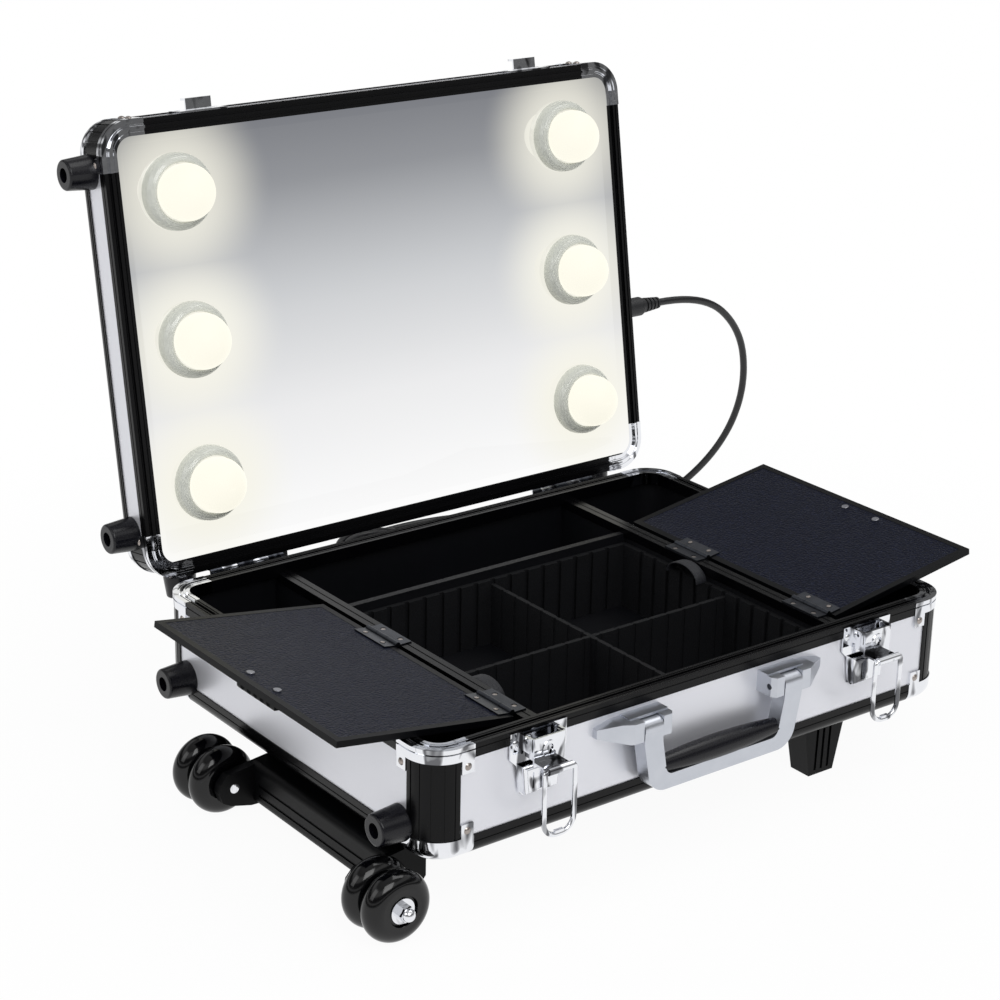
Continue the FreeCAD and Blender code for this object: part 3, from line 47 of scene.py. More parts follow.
def linear(code):
    """A colour written as sRGB hex, turned to the linear values that a shader takes."""
    c = np.array([int(code[k:k + 2], 16) for k in (1, 3, 5)]) / 255.0
    return (*np.where(c <= 0.04045, c / 12.92, ((c + 0.055) / 1.055) ** 2.4).tolist(), 1.0)


def put(tree, kind, sockets=None, **settings):
    """Adds one node. Settings go on the node; each socket gets a value, or a link from a node or socket."""
    node = tree.nodes.new(kind)
    for key, value in settings.items():
        setattr(node, key, value)
    for key, value in (sockets or {}).items():
        if isinstance(value, bpy.types.Node):
            value = value.outputs[0]
        if isinstance(value, bpy.types.NodeSocket):
            tree.links.new(value, node.inputs[key])
        else:
            node.inputs[key].default_value = value
    return node


def blend_tones(tree, factor, first, second):
    """The socket of a colour mixed from two, each given as hex, as linear values or as a socket."""
    pair = [linear(c) if isinstance(c, str) else c for c in (first, second)]
    return put(tree, "ShaderNodeMix", {0: factor, 6: pair[0], 7: pair[1]}, data_type="RGBA").outputs[2]


def spaced(mm):
    """Scale of a texture whose features are about mm apart."""
    return 1000.0 / mm


def finish(name, tones, rough, grain, depth, patch=30.0, stretch=(1, 1, 1), **sockets):
    """A surface finish in the object's own metres. Noise of grain mm makes a bump depth mm high; broad noise of
    patch mm moves the colour between two tones, and the fine noise moves the roughness between two values."""
    made = bpy.data.materials.new(name)
    made.use_nodes = True
    tree = made.node_tree
    shader = tree.nodes["Principled BSDF"]
    place = put(tree, "ShaderNodeTexCoord").outputs["Object"]
    drawn = put(tree, "ShaderNodeMapping", {"Vector": place, "Scale": stretch})
    fine = put(tree, "ShaderNodeTexNoise", {"Vector": drawn, "Scale": spaced(grain), "Detail": 4.0})
    broad = put(tree, "ShaderNodeTexNoise", {"Vector": drawn, "Scale": spaced(patch), "Detail": 3.0})
    tone = blend_tones(tree, broad, *tones)
    gloss = put(tree, "ShaderNodeMapRange", {"Value": fine, 1: 0.3, 2: 0.7, 3: rough[0], 4: rough[1]})
    bump = put(tree, "ShaderNodeBump", {"Height": fine, "Strength": 1.0, "Distance": depth / 1000.0})
    tree.links.new(tone, shader.inputs["Base Color"])
    tree.links.new(gloss.outputs[0], shader.inputs["Roughness"])
    tree.links.new(bump.outputs[0], shader.inputs["Normal"])
    for key, value in sockets.items():
        shader.inputs[key.replace("_", " ")].default_value = value
    return made


def inside(made):
    """The node tree of a finish, and the socket that gives the place on the object in metres."""
    return made.node_tree, made.node_tree.nodes["Texture Coordinate"].outputs["Object"]


def shift_colour(tree, factor, code):
    """Moves the colour of a finish from its own tones towards another by a factor."""
    stained = blend_tones(tree, factor, tree.nodes["Mix"].outputs[2], code)
    tree.links.new(stained, tree.nodes["Principled BSDF"].inputs["Base Color"])


def emboss(tree, height, strength, depth, over_own=True, **settings):
    """Gives a finish a relief depth mm high, laid over its own bump or in place of it."""
    sockets = {"Height": height, "Strength": strength, "Distance": depth / 1000.0}
    if over_own:
        sockets["Normal"] = tree.nodes["Bump"]
    relief = put(tree, "ShaderNodeBump", sockets, **settings)
    tree.links.new(relief.outputs[0], tree.nodes["Principled BSDF"].inputs["Normal"])


def surface(tree, shader):
    """Makes a shader the one that a material shows."""
    tree.links.new(shader.outputs[0], tree.nodes["Material Output"].inputs["Surface"])


def dress(made, *names):
    """Gives CAD nodes a finish through their own material slots."""
    for name in names:
        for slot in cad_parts[name].material_slots:
            slot.material = made


def skin(name, grids, u, v, ring=False):
    """Mesh over grids of points, each closed in its second direction: four-cornered faces between neighbours, and
    a flat face over each end, unless the first direction closes too. u and v are the lengths along both in metres."""
    k, m, n = grids.shape[:3]
    i, j = (a.ravel() for a in np.meshgrid(np.arange(m if ring else m - 1), np.arange(n), indexing="ij"))
    down, right = (i + 1) % m, (j + 1) % n
    quads = np.stack([i * n + j, down * n + j, down * n + right, i * n + right], 1)
    start = np.arange(k)[:, None, None] * m * n
    faces = (quads[None] + start).reshape(-1, 4).tolist()
    uv = np.stack([u[np.stack([i, i + 1, i + 1, i], 1)], v[np.stack([j, j, j + 1, j + 1], 1)]], 2)
    uv = np.tile(uv.reshape(-1, 2), (k, 1))
    if not ring:
        ends = np.stack([np.arange(n), np.arange(n) + (m - 1) * n])
        faces += (ends[None] + start).reshape(-1, n).tolist()
        uv = np.concatenate([uv, np.zeros((2 * k * n, 2))])
    mesh = bpy.data.meshes.new(name)
    mesh.from_pydata(grids.reshape(-1, 3).tolist(), [], faces)
    mesh.uv_layers.new(name="UVMap").data.foreach_set("uv", uv.ravel())
    work = bmesh.new()
    work.from_mesh(mesh)
    bmesh.ops.recalc_face_normals(work, faces=work.faces)
    work.to_mesh(mesh)
    work.free()
    mesh.polygons.foreach_set("use_smooth", np.ones(len(mesh.polygons), bool))
    mesh.set_sharp_from_angle(angle=np.radians(45))
    made = bpy.data.objects.new(name, mesh)
    scene.collection.objects.link(made)
    return made


def around(steps):
    """Angles of equal steps round a circle."""
    return np.linspace(0, 2 * np.pi, steps, endpoint=False)


def lathe(profile, steps):
    """Surface of revolution about Z: each (radius, height) of the profile carried round a circle in equal steps."""
    t = around(steps)
    r, h = profile[:, 0, None], profile[:, 1, None]
    return np.stack([r * np.cos(t), r * np.sin(t), h + 0 * t], 2)


def heading(path):
    """Unit vectors along a path at each of its points."""
    along = np.gradient(path, axis=0)
    return along / np.linalg.norm(along, axis=1, keepdims=True)


def lengths(path):
    """Distance along a path at each of its points, starting from nothing."""
    return np.concatenate([[0.0], np.cumsum(np.linalg.norm(np.diff(path, axis=0), axis=1))])


# Silver panels of the base and the lid, and the lid's outer cover: thin aluminium skin on board,
# rolled and lacquered satin, cut square and pushed into the slots of the profiles.
# Satin aluminium: broad soft reflections with a faint drawn grain running up the sheet.
silver = finish("satin_aluminium_skin", ("#dedfe6", "#e9eaef"), (0.3, 0.4), 0.5, 0.004,
                patch=120.0, stretch=(1, 1, 0.05), Metallic=0.55)
dress(silver, "base_panels", "lid_panels", "lid_cover")

# Black edge and rim profiles, corner posts, rail caps and trolley sleeves: extruded aluminium, black anodised,
# cut to length and riveted under the corner pieces.
# Anodising over a drawn surface: near black, with a low sheen.
anodised = finish("black_anodised_aluminium", ("#020203", "#050507"), (0.2, 0.3), 0.35, 0.006,
                  patch=25.0, Specular_IOR_Level=0.18)
dress(anodised, "base_profiles", "lid_profiles", "rail_caps", "trolley_sleeves")

# Corner pieces: sheet steel pressed over the profile ends, polished and chromed, with two ears each
# that are riveted to the panels.
# Chrome over pressed steel: a clear mirror whose slow ripples bend the reflections. Dark clouds painted into the
# plate's colour are a painted reflection of the unlit room, which a bare white studio leaves out of a mirror finish.
chrome = finish("polished_chrome", ("#e3e5ea", "#f1f2f5"), (0.03, 0.07), 6.0, 0.06, patch=18.0, Metallic=1.0)
tree, place = inside(chrome)
squat = put(tree, "ShaderNodeMapping", {"Vector": place, "Scale": (1, 1, 0.45)})
clouds = put(tree, "ShaderNodeTexNoise", {"Vector": squat, "Scale": spaced(13.0), "Detail": 1.5,
                                          "Distortion": 0.8})
# Painted reflection: where the clouds rise, the chrome's colour turns dark grey.
dark = put(tree, "ShaderNodeMapRange", {"Value": clouds, 1: 0.52, 2: 0.62, 3: 0.0, 4: 0.85})
shift_colour(tree, dark, "#2a2b30")
dress(chrome, "base_corners", "lid_corners")

# Rivets through the ears: nickel-plated steel, heads set by a press.
# Nickel under handling: duller and browner than the chrome round it.
nickel = finish("dull_nickel_plate", ("#8f8580", "#b7b0ab"), (0.22, 0.4), 0.8, 0.02, patch=3.0, Metallic=1.0)
dress(nickel, "base_rivets", "lid_rivets")

# Floor board of the base and backing board of the mirror: plywood, painted black.
# Brushed paint on ply: matt, with the long grain just showing through.
painted_ply = finish("black_painted_plywood", ("#17151a", "#262228"), (0.6, 0.8), 1.2, 0.06,
                     patch=20.0, stretch=(0.12, 1, 1))
dress(painted_ply, "base_floor", "mirror_backing")

# Lining of the base and the fixed walls: board covered with thin black leathercloth, glued down.
# Leathercloth: matt black with a close pebbled grain.
lining = finish("black_leathercloth", ("#040508", "#090a0f"), (0.45, 0.62), 1.4, 0.12,
                patch=40.0, Specular_IOR_Level=0.25)
dress(lining, "base_liner", "divider_walls")

# Grooved linings and crossed dividers of the middle tray: closed-cell foam sheet, die cut and slotted.
# Foam: matt and slightly grey, with open pores along the cut faces.
foam = finish("black_foam_sheet", ("#06070a", "#0c0d11"), (0.7, 0.9), 0.9, 0.18,
              patch=12.0, Specular_IOR_Level=0.25)
tree, place = inside(foam)
pores = put(tree, "ShaderNodeTexVoronoi", {"Vector": place, "Scale": spaced(1.6)})
emboss(tree, pores, 0.7, 0.3)
dress(foam, "slot_linings", "foam_dividers")

# Pull loops: two short lengths of black webbing whose ends are sewn to the grooved lining, standing as half ovals.
# Feet and radii of the ovals in mm, and the width, thickness and girth of the strap in metres.
LEFT_FOOT, RIGHT_FOOT = (-142.2, -90.0, 120.0), (142.2, 0.0, 120.0)
OVAL_ALONG, OVAL_UP = 19.25, 12.25
STRAP_W, STRAP_T, STRAP_GIRTH = 0.0118, 0.0015, 0.0267
SECTION_STEPS = 20


def strap(path, across, width, thick):
    """Flat strap: a section with rounded edges carried along a path, its width along the unit vector across and its
    thickness along the cross product of that and the path's direction."""
    out = np.cross(heading(path), across)
    t = around(SECTION_STEPS)
    wide = np.sign(np.cos(t)) * np.abs(np.cos(t)) ** 0.35 * width / 2
    high = np.sign(np.sin(t)) * np.abs(np.sin(t)) ** 0.8 * thick / 2
    return path[:, None] + wide[None, :, None] * np.array(across) + high[None, :, None] * out[:, None]


a = np.linspace(0.0, np.pi, 41)
half_oval = np.stack([0 * a, -OVAL_ALONG * np.cos(a), OVAL_UP * np.sin(a)], 1)
ovals = [(np.array(foot) + half_oval) / 1000.0 for foot in (LEFT_FOOT, RIGHT_FOOT)]
loops = np.stack([strap(oval, (1, 0, 0), STRAP_W, STRAP_T) for oval in ovals])
pulls = skin("webbing_pull_loops", loops, lengths(ovals[0]), np.linspace(0, STRAP_GIRTH, SECTION_STEPS + 1))
# Webbing: ribs across the strap every 1.4 mm, broken by the warp threads.
webbing = finish("black_nylon_webbing", ("#101116", "#1f2128"), (0.5, 0.7), 0.4, 0.02, patch=4.0)
tree = webbing.node_tree
threads = put(tree, "ShaderNodeMapping", {"Vector": put(tree, "ShaderNodeTexCoord").outputs["UV"],
                                          "Scale": (spaced(1.4), spaced(1.1), 1.0)})
weave = put(tree, "ShaderNodeTexBrick", {"Vector": threads, "Scale": 1.0, "Mortar Size": 0.12,
                                         "Mortar Smooth": 1.0, "Brick Width": 2.0, "Row Height": 1.0})
emboss(tree, weave.outputs["Fac"], 0.8, 0.4, over_own=False, invert=True)
pulls.data.materials.append(webbing)
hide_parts("pull_loops")
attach(pulls, "base")

# Side table flaps: board wrapped in blue-black leathercloth, edged with a folded vinyl binding, with a moulded
# finger pull on the face that is up when they are folded in.
# Leathercloth: dark blue, small irregular pebbles, with painted sheen in light blue flecks about as close as the
# pebbles.
leather = finish("blue_black_leathercloth", ("#090b14", "#0f1220"), (0.3, 0.44), 0.7, 0.05, patch=9.0,
                 Specular_IOR_Level=0.09, Specular_Tint=linear("#b4c0ff"))
tree, place = inside(leather)
pebbles = put(tree, "ShaderNodeTexVoronoi", {"Vector": place, "Scale": spaced(2.2), "Randomness": 1.0})
emboss(tree, pebbles, 1.0, 0.6, invert=True)
flecks = put(tree, "ShaderNodeTexNoise", {"Vector": place, "Scale": spaced(2.2), "Detail": 5.0, "Roughness": 0.75})
# Painted sheen: light blue flecks mixed into the colour where the fine noise is high.
painted_sheen = put(tree, "ShaderNodeMapRange", {"Value": flecks, 1: 0.52, 2: 0.72, 3: 0.0, 4: 0.5})
shift_colour(tree, painted_sheen, "#313852")
dress(leather, "left_flap_board", "right_flap_board")

# Vinyl binding and finger pulls: black, moulded or folded, with a low sheen.
vinyl = finish("black_vinyl", ("#030305", "#07080b"), (0.32, 0.46), 0.6, 0.03, patch=20.0, Specular_IOR_Level=0.1)
dress(vinyl, "left_flap_binding", "right_flap_binding", "left_flap_pull", "right_flap_pull")

# Hinge leaves of the flaps and of the lid, with their pins: stamped steel, blackened on the flaps and chromed on
# the lid. Each flap leaf is held by two flat screws, flush so that the leaves can shut on each other.
# Blackened steel: dark grey metal with a rubbed, uneven sheen. The two rivets of each finger pull, over 220 mm from
# the middle, are left bright.
blackened = finish("blackened_steel", ("#33353a", "#4b4e55"), (0.25, 0.42), 0.5, 0.01, patch=8.0, Metallic=1.0)
tree, place = inside(blackened)
across = put(tree, "ShaderNodeMath", {0: put(tree, "ShaderNodeSeparateXYZ", {0: place})}, operation="ABSOLUTE")
far = put(tree, "ShaderNodeMath", {0: across, 1: 0.22}, operation="GREATER_THAN")
shift_colour(tree, far, "#8f9096")
dress(blackened, "fixed_hinge_leaves", "left_flap_hardware", "right_flap_hardware", "pivot_pins")
dress(chrome, "lid_hinge_leaves")

# Screws in mm, first with the left flap shut: the hinge line, the turn that opens the flap, where each hinge and its
# screws start along Y, and the screws' distance from the line and their seats on the two leaves.
FLAP_AXIS = np.array([-163.0, 0.0, 134.0])
FLAP_TURN = np.radians(-171.4247)
HINGE_Y, SCREW_ALONG = (-152.0, -4.0), (9.0, 33.0)
SCREW_OUT, FIXED_SEAT, MOVING_SEAT = 8.6, -0.4, -0.3
HEAD_R, HEAD_STEPS, HEAD_ROUND = 1.9, 18, 0.014
flat_head = np.array([[HEAD_R, -0.3], [HEAD_R, 0.0], [HEAD_R - 0.1, 0.03], [0.3, 0.03]])
head = lathe(flat_head, HEAD_STEPS)
spots_y = np.repeat(HINGE_Y, 2) + np.tile(SCREW_ALONG, 2)
fixed_spots = np.stack([0 * spots_y + SCREW_OUT, spots_y, 0 * spots_y + FIXED_SEAT], 1) + FLAP_AXIS
moving_spots = np.stack([0 * spots_y + SCREW_OUT, spots_y, 0 * spots_y + MOVING_SEAT], 1)
c, d = np.cos(FLAP_TURN), np.sin(FLAP_TURN)
opened = np.array([[c, 0, -d], [0, 1, 0], [d, 0, c]])
moving = (head * [1, -1, -1] + moving_spots[:, None, None]) @ opened + FLAP_AXIS
fixed = head + fixed_spots[:, None, None]
for side, turn in (("left", 1), ("right", -1)):
    for heads, name, body in ((moving, "_flap_screws", side + "_flap"), (fixed, "_rail_screws", "base")):
        screws = skin(side + name, heads * [turn, 1, 1] / 1000.0, lengths(flat_head) / 1000.0,
                      np.linspace(0, HEAD_ROUND, HEAD_STEPS + 1))
        screws.data.materials.append(nickel)
        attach(screws, body)

# Latches: pressed steel plates, levers and hooks, and bent wire bails, all chromed, riveted to the front panels.
dress(chrome, "latch_plates", "left_latch_lever", "right_latch_lever", "left_latch_bail", "right_latch_bail",
      "lid_catches")

# Carry handle and its two brackets: zinc castings, tumbled and plated satin, with a rubber grip on the bar.
# Satin plate over a casting: pale grey metal, softly blurred and almost without grain.
casting = finish("satin_plated_casting", ("#bec2ca", "#cdd0d7"), (0.28, 0.36), 0.5, 0.002,
                 patch=14.0, Metallic=0.95)
dress(casting, "handle_brackets", "carry_handle")

# Grip and bumpers: black rubber, moulded smooth.
# Moulded rubber: blue-black, fairly glossy where the mould was polished.
rubber = finish("moulded_black_rubber", ("#05050b", "#0a0a13"), (0.24, 0.34), 0.9, 0.003,
                patch=16.0, Specular_IOR_Level=0.35)
dress(rubber, "carry_grip", "base_bumpers", "lid_bumpers")

# Wheels: cast polyurethane tyres, turning in pairs on steel bolts with washers and acorn nuts.
# Polyurethane: deep black and glossy, with a little dust dulling the tread.
tyre = finish("black_polyurethane", ("#020203", "#050507"), (0.08, 0.16), 2.5, 0.006,
              patch=15.0, Specular_IOR_Level=0.4)
dress(tyre, "wheel_front_outer", "wheel_front_inner", "wheel_rear_inner", "wheel_rear_outer")
dress(chrome, "axles")

# Wheel carrier, feet and trolley grip: glass-filled nylon, moulded with a spark-eroded texture.
# Filled nylon: near black, matt, evenly pitted.
nylon = finish("textured_black_nylon", ("#030304", "#07080a"), (0.34, 0.5), 0.8, 0.04,
               patch=30.0, Specular_IOR_Level=0.12)
dress(nylon, "wheel_carrier", "feet", "trolley_grip")

# Trolley tubes: drawn steel, satin chromed.
# Drawn tube: bright satin with fine lines along the length.
drawn = finish("satin_drawn_steel", ("#a9acb1", "#bfc1c6"), (0.2, 0.34), 0.4, 0.006,
               patch=30.0, stretch=(0.04, 1, 1), Metallic=1.0)
dress(drawn, "trolley_tubes", "bulb_caps")

# Lid: its hinge line and opening turn, and the lamps on its mirror, in mm with the lid shut.
LID_AXIS = np.array([0.0, 195.2, 133.2])
LID_TURN = np.radians(-99.5)
LAMP_X, LAMP_Y, MIRROR_Z = (-200.0, 200.0), (116.0, -5.0, -127.0), 145.6
lamp_spots = np.array([[x, y, MIRROR_Z] for x in LAMP_X for y in LAMP_Y])


def on_lid(points):
    """Points in mm of the shut lid, turned about the hinge line to the open pose and given in metres."""
    c, d = np.cos(LID_TURN), np.sin(LID_TURN)
    return ((points - LID_AXIS) @ np.array([[1, 0, 0], [0, c, d], [0, -d, c]]) + LID_AXIS) / 1000.0


# Mirror filling the lid: float glass, silvered on the back, held by a border of the same glass on three sides and
# a black rail at its foot.
# Silvered glass: a clear reflection, mostly covered by painted light emitted over it. The painted light is a painted
# reflection, grey at its top and white at its foot, with a painted warm glow that fades out round each lamp. Heights
# and distances are in metres.
PAINTED_MIRROR_TONES = ((0.3, "#ececed"), (0.6, "#c6c8cb"), (0.85, "#9a9ca1"))
PAINTED_MIRROR_LOW, PAINTED_MIRROR_HIGH = 0.15, 0.50
PAINTED_SHARE_LOW, PAINTED_SHARE_HIGH = 0.2, 0.45
PAINTED_GLOW_FROM, PAINTED_GLOW_TO = 0.026, 0.092
mirror = finish("silvered_glass", ("#eceef0", "#f4f5f6"), (0.0, 0.02), 40.0, 0.002, patch=150.0, Metallic=1.0)
tree, place = inside(mirror)
near = None
for spot in on_lid(lamp_spots):
    away = put(tree, "ShaderNodeVectorMath", {0: place, 1: spot.tolist()}, operation="DISTANCE").outputs["Value"]
    near = away if near is None else put(tree, "ShaderNodeMath", {0: near, 1: away}, operation="MINIMUM").outputs[0]
rise = put(tree, "ShaderNodeSeparateXYZ", {0: place}).outputs["Z"]
# Painted reflection: an emitted colour, near white low on the mirror and grey higher up.
painted_mirror_ramp = put(tree, "ShaderNodeValToRGB",
           {0: put(tree, "ShaderNodeMapRange", {"Value": rise, 1: PAINTED_MIRROR_LOW, 2: PAINTED_MIRROR_HIGH})})
painted_mirror_ramp.color_ramp.elements[0].color = linear("#fdfdfd")
painted_mirror_ramp.color_ramp.elements[1].color = linear("#84868c")
for share, code in PAINTED_MIRROR_TONES:
    painted_mirror_ramp.color_ramp.elements.new(share).color = linear(code)
# Painted glow: warm white emitted round each lamp, fading out with distance from it.
fade = put(tree, "ShaderNodeMapRange", {"Value": near, 1: PAINTED_GLOW_FROM, 2: PAINTED_GLOW_TO, 3: 0.96, 4: 0.0},
           interpolation_type="SMOOTHSTEP")
painted_glow = blend_tones(tree, fade, painted_mirror_ramp.outputs[0], "#f7f5e9")
painted_light = put(tree, "ShaderNodeEmission", {"Color": painted_glow, "Strength": 1.0})
# Share of the painted light over the real reflection: 0.98 low on the mirror, 0.82 higher up.
thick = put(tree, "ShaderNodeMapRange", {"Value": rise, 1: PAINTED_SHARE_LOW, 2: PAINTED_SHARE_HIGH, 3: 0.98, 4: 0.82})
surface(tree, put(tree, "ShaderNodeMixShader", {0: thick, 1: tree.nodes["Principled BSDF"], 2: painted_light}))
dress(mirror, "mirror")

# Border: the same painted light alone, dimmed towards its top as the glass is there, and black below the foot of the
# glass.
border = mirror.copy()
border.name = "silvered_border"
tree = border.node_tree
rise, painted_light = tree.nodes["Separate XYZ"].outputs["Z"], tree.nodes["Emission"]
foot = min(corner[2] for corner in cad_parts["mirror"].bound_box)
lower = put(tree, "ShaderNodeMath", {0: rise, 1: foot + 0.002}, operation="LESS_THAN")
rail = put(tree, "ShaderNodeBsdfPrincipled", {"Base Color": linear("#050507"), "Roughness": 0.35,
                                              "Specular IOR Level": 0.3})
dim = put(tree, "ShaderNodeMapRange", {"Value": rise, 1: PAINTED_SHARE_LOW, 2: PAINTED_SHARE_HIGH, 3: 1.0, 4: 0.86})
tree.links.new(dim.outputs[0], painted_light.inputs["Strength"])
surface(tree, put(tree, "ShaderNodeMixShader", {0: lower, 1: painted_light, 2: rail}))
dress(border, "mirror_bezel")

# Lampholder skirts: short bowls of translucent white plastic, screwed down on the mirror round each lamp and
# moulded with fine grooves. Sizes in mm.
SKIRT_R, SKIRT_TOP_R, SKIRT_H, SKIRT_FOOT, SKIRT_T = 32.0, 25.6, 12.0, 2.0, 1.5
GROOVES, GROOVE_DEEP = 3, 0.22
SKIRT_STEPS, SKIRT_ROUND = 72, 0.2
turn = np.linspace(0.0, np.pi / 2, 61)
wall = np.stack([SKIRT_TOP_R + (SKIRT_R - SKIRT_TOP_R) * np.cos(turn),
                 SKIRT_FOOT + (SKIRT_H - SKIRT_FOOT) * np.sin(turn)], 1)
cuts = GROOVE_DEEP * (0.5 - 0.5 * np.cos(4 * GROOVES * turn))
bowl = wall - np.stack([cuts * np.cos(turn), cuts * np.sin(turn)], 1)
inner = (wall - [SKIRT_T, 0.0] - np.stack([0 * turn, 1.4 * np.sin(turn)], 1))[::-6]
foot_edge = [[SKIRT_R - SKIRT_T, 0.0], [SKIRT_R, 0.0]]
top_edge = [[SKIRT_TOP_R - 1.0, SKIRT_H], [SKIRT_TOP_R - SKIRT_T, SKIRT_H - 0.6]]
ring = np.concatenate([foot_edge, bowl, top_edge, inner])
skirt = lathe(ring * [1, -1], SKIRT_STEPS)
skirts = skin("lampholder_skirts", on_lid(skirt + lamp_spots[:, None, None]),
              np.append(lengths(ring), lengths(ring)[-1] + 1.6) / 1000.0,
              np.linspace(0, SKIRT_ROUND, SKIRT_STEPS + 1), ring=True)
# Translucent plastic: cool grey white, smooth and a little glossy.
frosted = finish("translucent_white_plastic", ("#d2d5ce", "#e2e4dc"), (0.08, 0.14), 4.0, 0.002,
                 patch=30.0, Transmission_Weight=0.2)
skirts.data.materials.append(frosted)
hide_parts("lamp_skirts")
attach(skirts, "lid")

# Lamps: globes of opal glass, lit warm, screwed into sockets behind the mirror.
# Opal glass, lit: an even warm white that is almost too bright to show its surface.
opal = finish("lit_opal_glass", ("#57554e", "#605e56"), (0.5, 0.6), 3.0, 0.002, patch=25.0,
              Specular_IOR_Level=0.2, Emission_Color=linear("#fbf8ea"), Emission_Strength=0.95)
dress(opal, "bulb_globes")
dress(frosted, "lamp_sockets")

# Mains lead: black flexible cord through a ribbed relief in the lid's end, down behind the case to the floor, then
# a wound coil behind the base and a moulded plug.
# Sizes and points in mm. The coil winds in on the floor for two turns, climbs in half a turn, and winds out on top.
CORD_R = 3.5
COIL_X, COIL_Y, COIL_R, COIL_STEP, COIL_TURNS = 120.0, 430.0, 46.0, 7.6, 4.5
CLIMB_AT, CLIMB_FOR = 2.0, 0.5
PLUG_END = (143.99, 383.37, 11.1)
LEAD_STEPS, LEAD_ROUND = 16, 0.022
route = np.array([(313.0, 248.17, 277.64), (371.0, 248.17, 277.64), (428, 252, 232), (448, 262, 166),
                  (444, 284, 102), (420, 322, 44), (376, 366, CORD_R), (322, 424, CORD_R), (250, 466, CORD_R),
                  (194.97, 477.97, CORD_R), (139.99, 476.53, CORD_R)])
t = np.linspace(0.0, COIL_TURNS, 73)
climb = np.clip((t - CLIMB_AT) / CLIMB_FOR, 0.0, 1.0)
over = np.clip(t - CLIMB_AT, 0.0, CLIMB_FOR)
laps = np.where(t < CLIMB_AT, t,
                np.where(t < CLIMB_AT + CLIMB_FOR, CLIMB_AT + over - 2.0 * over ** 2, COIL_TURNS - t))
radius = COIL_R - COIL_STEP * laps
turns = np.stack([COIL_X - radius * np.sin(2 * np.pi * t), COIL_Y + radius * np.cos(2 * np.pi * t),
                  CORD_R + COIL_STEP * climb ** 2 * (3 - 2 * climb)], 1)
points = np.concatenate([route, turns, [PLUG_END]]) / 1000.0


def smooth_line(points):
    """Points of a quadratic spline that starts at the first point, is drawn to each between, and ends at the last."""
    line = bpy.data.curves.new("lead_line", "CURVE")
    line.dimensions = "3D"
    spline = line.splines.new("NURBS")
    spline.points.add(len(points) - 1)
    spline.points.foreach_set("co", np.concatenate([points, np.ones((len(points), 1))], 1).ravel())
    spline.order_u = 3
    spline.use_endpoint_u = True
    spline.resolution_u = 10
    carrier = bpy.data.objects.new("lead_line", line)
    read = bpy.data.meshes.new_from_object(carrier)
    found = np.empty(len(read.vertices) * 3)
    read.vertices.foreach_get("co", found)
    bpy.data.meshes.remove(read)
    bpy.data.objects.remove(carrier)
    bpy.data.curves.remove(line)
    return found.reshape(-1, 3)


path = smooth_line(points)
along = heading(path)
level = np.cross(along, (0, 0, 1))
level /= np.linalg.norm(level, axis=1, keepdims=True)
upper = np.cross(level, along)
t = around(LEAD_STEPS)
round_line = np.cos(t)[:, None] * level[:, None] + np.sin(t)[:, None] * upper[:, None]
tube = path[:, None] + CORD_R / 1000.0 * round_line
lead = skin("mains_lead", tube[None], lengths(path), np.linspace(0, LEAD_ROUND, LEAD_STEPS + 1))
# Soft vinyl sheath: black with a satin sheen and a faint drag from the die.
sheath = finish("black_vinyl_sheath", ("#08080a", "#121317"), (0.28, 0.42), 0.6, 0.012, patch=20.0)
lead.data.materials.append(sheath)
dress(sheath, "plug")
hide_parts("cord_run", "cord_coil")
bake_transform(lead)

# Strain relief: moulded black vinyl, ribbed so that it bends with the lead.
relief = finish("black_moulded_vinyl", ("#101114", "#1c1d20"), (0.4, 0.55), 0.6, 0.03, patch=8.0)
dress(relief, "strain_relief")

# Studio: a white floor that runs out to a white surround, three soft lamps and the camera of the photograph.
FLOOR_HALF, FLOOR_Z = 9, -0.0004
SHADOW_FROM, SHADOW_TO, SHADOW_LEAST = 0.35, 0.9, 0.95
SURROUND = 0.42
# Brightness of the room that glossy finishes see, by the sine of the height above the horizon.
ROOM_LOW, ROOM_HIGH = 0.95, 0.5
ROOM = ((0.05, 0.15), (0.12, 0.1), (0.16, 0.8), (0.2, 0.8), (0.26, 0.1), (0.46, 0.12), (0.55, 0.85), (0.7, 0.85),
        (0.8, 0.3))
LAMPS = (("key_lamp", (-0.7, -2.1, 2.2), 1.6, 32.0), ("side_lamp", (-2.3, 0.1, 1.5), 1.3, 8.0),
         ("top_lamp", (0.9, -0.2, 2.5), 1.4, 16.0))
LAMP_AIM = (0, 0, 0.2)
CAMERA_AT, CAMERA_LENS, SENSOR_W = (-1.16703, -1.43673, 0.91703), 87.5, 36.0
CAMERA_TURN = (37.568, 20.668, 1.2427)


def grey(level):
    """A grey of one linear level."""
    return (level, level, level, 1)


def either(tree, first, second):
    """The larger of two values."""
    return put(tree, "ShaderNodeMath", {0: first, 1: second}, operation="MAXIMUM")


floor_mesh = bpy.data.meshes.new("floor")
floor_corners = [(i * FLOOR_HALF, j * FLOOR_HALF, FLOOR_Z) for i, j in ((-1, -1), (1, -1), (1, 1), (-1, 1))]
floor_mesh.from_pydata(floor_corners, [], [(0, 1, 2, 3)])
floor = bpy.data.objects.new("floor", floor_mesh)
scene.collection.objects.link(floor)
paper = bpy.data.materials.new("white_paper_sweep")
paper.use_nodes = True
tree = paper.node_tree
seen = put(tree, "ShaderNodeLightPath").outputs
shown = either(tree, either(tree, seen["Is Camera Ray"], seen["Is Glossy Ray"]), seen["Is Transmission Ray"])
spread = put(tree, "ShaderNodeVectorMath", {0: put(tree, "ShaderNodeTexCoord").outputs["Object"]},
             operation="LENGTH").outputs["Value"]
clear = put(tree, "ShaderNodeMapRange", {"Value": spread, 1: SHADOW_FROM, 2: SHADOW_TO, 3: SHADOW_LEAST, 4: 1.0})
lit = put(tree, "ShaderNodeMath", {0: shown, 1: clear}, operation="MULTIPLY")
matt = put(tree, "ShaderNodeBsdfDiffuse", {"Color": linear("#f6f6f6")})
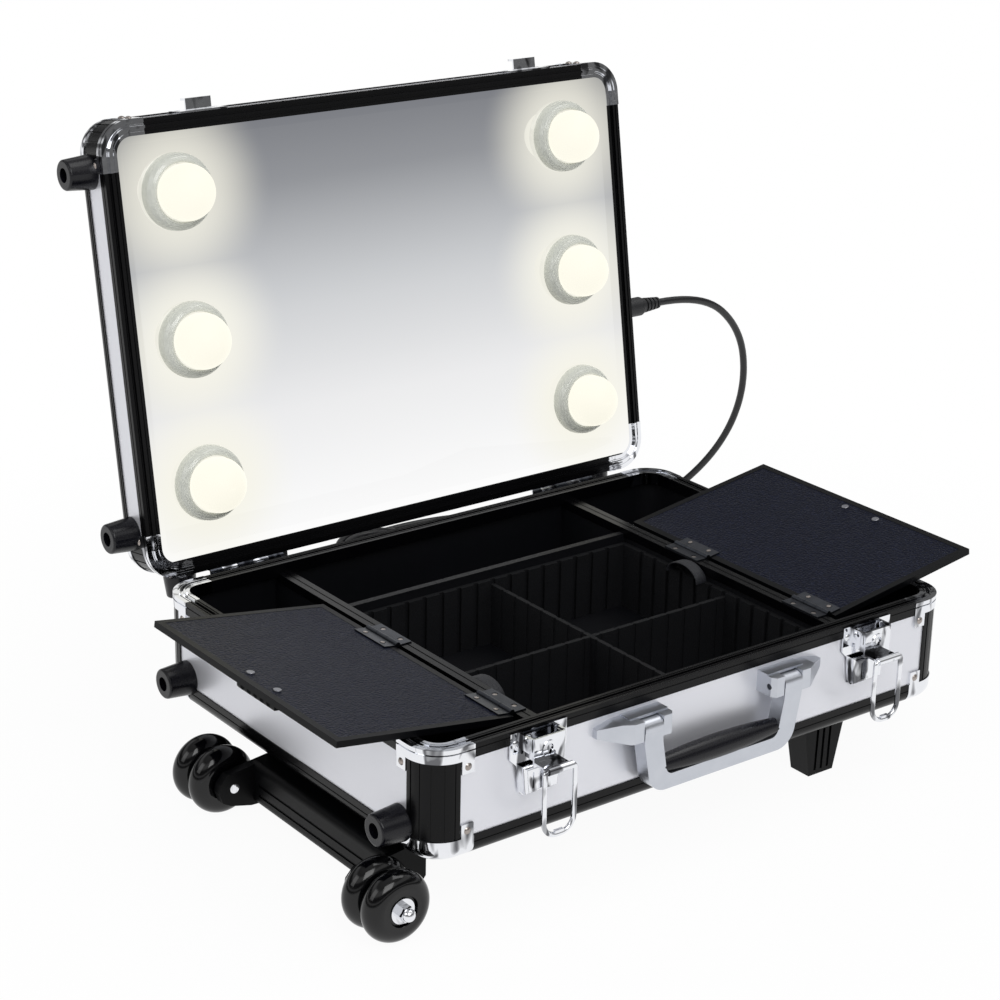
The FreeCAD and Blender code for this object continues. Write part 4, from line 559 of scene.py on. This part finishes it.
glow = put(tree, "ShaderNodeEmission", {"Color": grey(1), "Strength": 1.0})
surface(tree, put(tree, "ShaderNodeMixShader", {0: lit, 1: matt, 2: glow}))
floor_mesh.materials.append(paper)

world = bpy.data.worlds.new("studio")
scene.world = world
world.use_nodes = True
tree = world.node_tree
seen = put(tree, "ShaderNodeLightPath").outputs
shown = either(tree, seen["Is Camera Ray"], seen["Is Transmission Ray"])
height = put(tree, "ShaderNodeSeparateXYZ", {0: put(tree, "ShaderNodeTexCoord").outputs["Generated"]})
room = put(tree, "ShaderNodeValToRGB", {0: height.outputs["Z"]})
room.color_ramp.elements[0].color = grey(ROOM_LOW)
room.color_ramp.elements[1].color = grey(ROOM_HIGH)
for share, brightness in ROOM:
    room.color_ramp.elements.new(share).color = grey(brightness)
soft = blend_tones(tree, seen["Is Glossy Ray"], grey(SURROUND), room.outputs[0])
sky = blend_tones(tree, shown, soft, grey(1))
tree.links.new(sky, tree.nodes["Background"].inputs["Color"])

for name, spot, size, power in LAMPS:
    lamp = bpy.data.lights.new(name, "AREA")
    lamp.size, lamp.energy = size, power
    stand = bpy.data.objects.new(name, lamp)
    aim = Vector(spot) - Vector(LAMP_AIM)
    stand.matrix_world = Matrix.Translation(spot) @ aim.to_track_quat("Z", "Y").to_matrix().to_4x4()
    scene.collection.objects.link(stand)

az, el, roll = np.radians(CAMERA_TURN)
right = np.array([np.cos(az), -np.sin(az), 0])
up = np.array([np.sin(az) * np.sin(el), np.cos(az) * np.sin(el), np.cos(el)])
back = np.array([-np.sin(az) * np.cos(el), -np.cos(az) * np.cos(el), np.sin(el)])
axes = np.stack([right * np.cos(roll) + up * np.sin(roll), up * np.cos(roll) - right * np.sin(roll), back], 1)
lens = bpy.data.cameras.new("camera")
lens.lens, lens.sensor_width = CAMERA_LENS, SENSOR_W
camera = bpy.data.objects.new("camera", lens)
camera.matrix_world = Matrix.Translation(CAMERA_AT) @ Matrix(axes.tolist()).to_4x4()
scene.collection.objects.link(camera)
scene.camera = camera
scene.view_settings.view_transform = "Standard"
